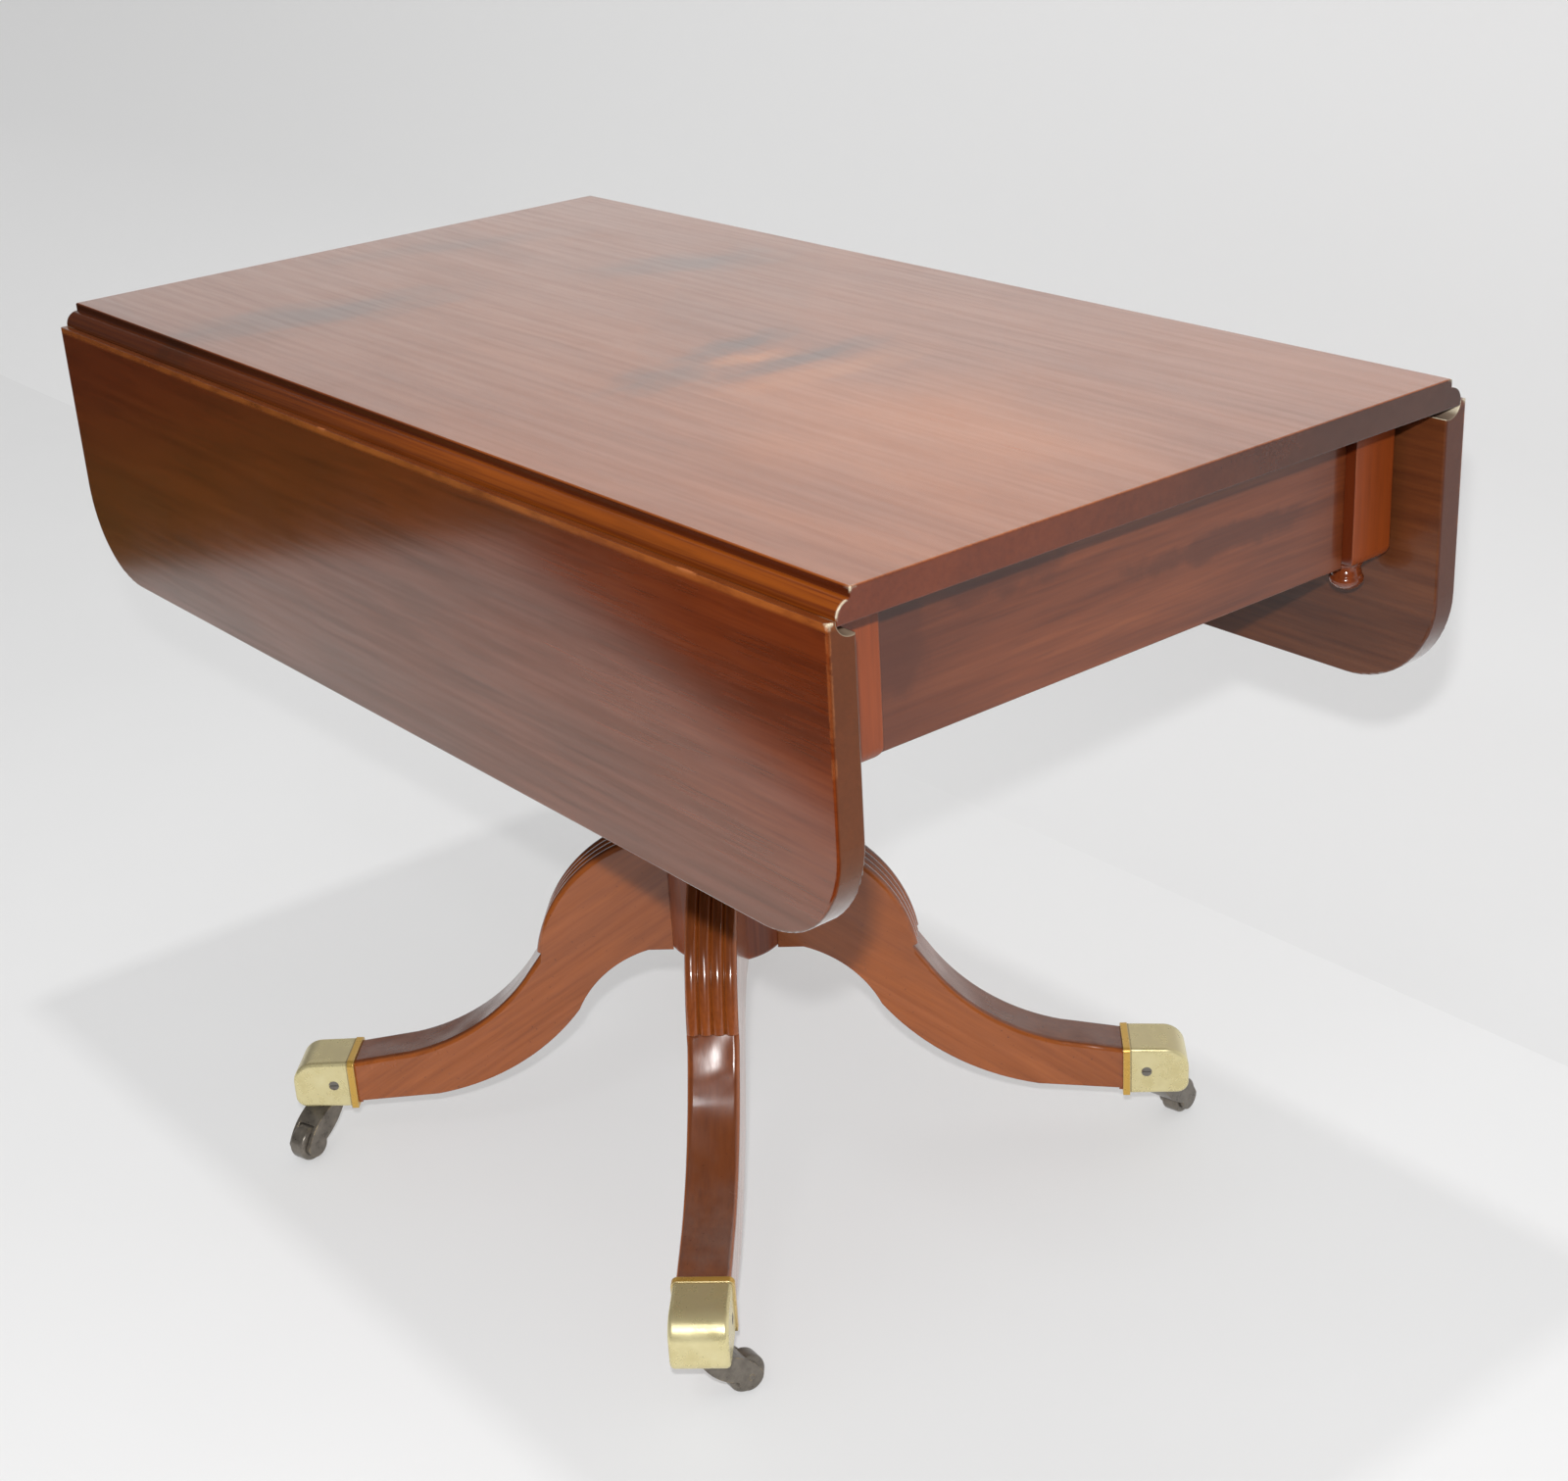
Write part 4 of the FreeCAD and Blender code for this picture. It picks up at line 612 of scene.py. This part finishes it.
def pale_floor(name, colour):
    """Pale stage cloth, with painted shade under the lamp. The table sees it end, with a darker room beyond
    it.
    """
    shader = Shader(name)
    point = shader.node("ShaderNodeNewGeometry").outputs["Position"]
    x, y, _ = shader.axes(point)
    pale = shader.mix(shader.noise(point, scale=1.6, detail=3.0), colour, tuple(c * 0.95 for c in colour))
    # Painted shade on the floor under the lamp, evening out its light.
    from_lamp = shader.node("ShaderNodeVectorMath", {0: point, 1: LAMP_FOOT}, operation="DISTANCE")
    under_lamp = shader.band(from_lamp.outputs["Value"], 1.40, 0.75, 0.0, 0.30)
    pale = shader.mix(under_lamp, pale, (0.0, 0.0, 0.0))

    front_slope, left_slope, left_start = 0.256, 0.56, 0.95
    front = shader.minus(y, shader.times(x, front_slope))
    beyond_front = shader.band(front, -0.89, -0.97)
    slant = shader.plus(x, shader.times(shader.plus(y, left_start), left_slope))
    beyond_left = shader.times(shader.band(slant, -1.65, -1.83), shader.band(y, -0.25, -0.45))
    room_brown, olive, deep_olive = (0.030, 0.022, 0.015), (0.145, 0.112, 0.030), (0.036, 0.032, 0.022)
    room = shader.mix(beyond_front, pale, room_brown)
    room = shader.mix(beyond_left, room, shader.mix(shader.band(x, -2.00, -3.00), olive, deep_olive))

    path = shader.node("ShaderNodeLightPath")
    seen = path.outputs["Is Camera Ray"]
    material = shader.surface(base_color=shader.mix(seen, room, pale), roughness=0.95,
                              specular_ior_level=0.1)
    on_cloth = shader.minus(1.0, shader.larger(beyond_front, beyond_left))
    mirrored = shader.times(path.outputs["Is Glossy Ray"], on_cloth)
    mirrored = shader.times(mirrored, shader.band(front, -0.35, -0.85, 1.20, 0.50, smooth=False))
    whiten(shader, shader.times(shader.larger(seen, mirrored), FLOOR_SHARE), pale)
    clear_behind(shader)
    return material


def pale_wall(name, colour):
    """The cloth behind, with painted shade towards the lamp."""
    shader = Shader(name)
    x = shader.axes(shader.node("ShaderNodeNewGeometry").outputs["Position"])[0]
    # Painted shade: the cloth is darker towards the lamp.
    near_lamp = tuple(c * 0.76 for c in colour)
    cloth = shader.mix(shader.band(x, -1.8, 1.2), colour, near_lamp)
    material = shader.surface(base_color=cloth, roughness=0.95, specular_ior_level=0.1)
    path = shader.node("ShaderNodeLightPath")
    seen = shader.larger(path.outputs["Is Camera Ray"], path.outputs["Is Glossy Ray"])
    whiten(shader, shader.times(seen, CLOTH_SHARE), CLOTH_GLOW)
    clear_behind(shader)
    return material


def stage_mesh(name, verts, faces, material):
    """A piece of the stage."""
    mesh = bpy.data.meshes.new(name)
    mesh.from_pydata(verts, [], faces)
    mesh.materials.append(material)
    for face in mesh.polygons:
        face.use_smooth = True
    made = bpy.data.objects.new(name, mesh)
    bpy.context.scene.collection.objects.link(made)
    return made


def make_stage():
    """A pale floor, and a pale cloth that bends up out of it behind the table."""
    corners = ((-1, -1), (1, -1), (1, 1), (-1, 1))
    verts = [(x * FLOOR_REACH, y * FLOOR_REACH, 0.0) for x, y in corners]
    stage_mesh("floor", verts, [(0, 1, 2, 3)], pale_floor("floor_cloth", FLOOR_GREY))

    bend_start = CLOTH_Y - CLOTH_BEND
    profile = [(bend_start, CLOTH_LIFT)]
    for step in range(1, BEND_STEPS + 1):
        turn = math.pi / 2 * step / BEND_STEPS
        profile.append((bend_start + CLOTH_BEND * math.sin(turn),
                        CLOTH_LIFT + CLOTH_BEND - CLOTH_BEND * math.cos(turn)))
    profile.append((CLOTH_Y, CLOTH_HEIGHT))
    verts = [(x, y, z) for y, z in profile for x in (CLOTH_LEFT, CLOTH_RIGHT)]
    faces = [(row * 2, row * 2 + 1, row * 2 + 3, row * 2 + 2) for row in range(len(profile) - 1)]
    cloth = stage_mesh("back_cloth", verts, faces, pale_wall("wall_cloth", CLOTH_GREY))
    cloth.visible_shadow = False


def area_light(name, place, target, size, watts, colour=(1.0, 1.0, 1.0)):
    """A rectangular lamp at a place, turned to a target."""
    light = bpy.data.lights.new(name, "AREA")
    light.shape = "RECTANGLE"
    light.size, light.size_y = size
    light.energy = watts
    light.color = colour
    made = bpy.data.objects.new(name, light)
    bpy.context.scene.collection.objects.link(made)
    made.location = place
    aim = Vector(target) - Vector(place)
    made.rotation_euler = aim.to_track_quat("-Z", "Y").to_euler()


def make_room():
    """A soft dome of light, brighter overhead, that polish sees dimly."""
    world = bpy.data.worlds.new("room")
    bpy.context.scene.world = world
    world.use_nodes = True
    tree = world.node_tree
    background = tree.nodes["Background"]
    background.inputs["Color"].default_value = (1.0, 1.0, 1.0, 1.0)
    ways = tree.nodes.new("ShaderNodeTexCoord")
    split = tree.nodes.new("ShaderNodeSeparateXYZ")
    tree.links.new(ways.outputs["Generated"], split.inputs[0])
    dome = tree.nodes.new("ShaderNodeMapRange")
    tree.links.new(split.outputs[2], dome.inputs["Value"])
    dome.inputs["To Min"].default_value = DOME_LOW
    dome.inputs["To Max"].default_value = DOME_HIGH
    strength = dome.outputs[0]
    path = tree.nodes.new("ShaderNodeLightPath")
    for ray, seen in ROOM_SEEN.items():
        pick = tree.nodes.new("ShaderNodeMix")
        tree.links.new(path.outputs[ray], pick.inputs[0])
        tree.links.new(strength, pick.inputs[2])
        pick.inputs[3].default_value = seen
        strength = pick.outputs[0]
    tree.links.new(strength, background.inputs["Strength"])


def make_lamps():
    """A small ceiling lamp, a window beside the camera, and a lamp just above the camera."""
    area_light("ceiling", place=(0.05, 0.0, 3.0), target=(0.05, 0.0, 0.0), size=(0.12, 0.12), watts=21.0)
    area_light("window", place=(0.95, -1.50, 2.20), target=(0.1, -0.1, 0.2), size=(0.34, 0.16), watts=4.0,
               colour=(0.92, 0.96, 1.0))
    area_light("camera_side", place=(1.47, -1.09, 1.325), target=(0.0, 0.1, 0.45), size=(0.045, 0.035),
               watts=27.0)


def make_camera():
    """The camera of the photograph."""
    focal_pixels = 2467.4
    image_width = 1600.0
    sensor = 36.0
    place = (1.4719, -1.0699, 1.1892)
    azimuth, pitch, roll = (math.radians(angle) for angle in (52.162, 24.076, -3.445))
    back = Vector((math.sin(azimuth) * math.cos(pitch), -math.cos(azimuth) * math.cos(pitch),
                   math.sin(pitch)))
    level = Vector((0.0, 0.0, 1.0)).cross(back).normalized()
    rise = back.cross(level)
    right = level * math.cos(roll) + rise * math.sin(roll)
    up = rise * math.cos(roll) - level * math.sin(roll)
    data = bpy.data.cameras.new("camera")
    data.sensor_fit = "HORIZONTAL"
    data.sensor_width = sensor
    data.lens = focal_pixels / image_width * sensor
    camera = bpy.data.objects.new("camera", data)
    bpy.context.scene.collection.objects.link(camera)
    camera.matrix_world = Matrix.Translation(place) @ Matrix((right, up, back)).transposed().to_4x4()
    bpy.context.scene.camera = camera


paint_top()
paint_frame()
paint_pedestal()
paint_metal()
make_stage()
make_room()
make_lamps()
make_camera()
bpy.context.scene.view_settings.view_transform = "Standard"
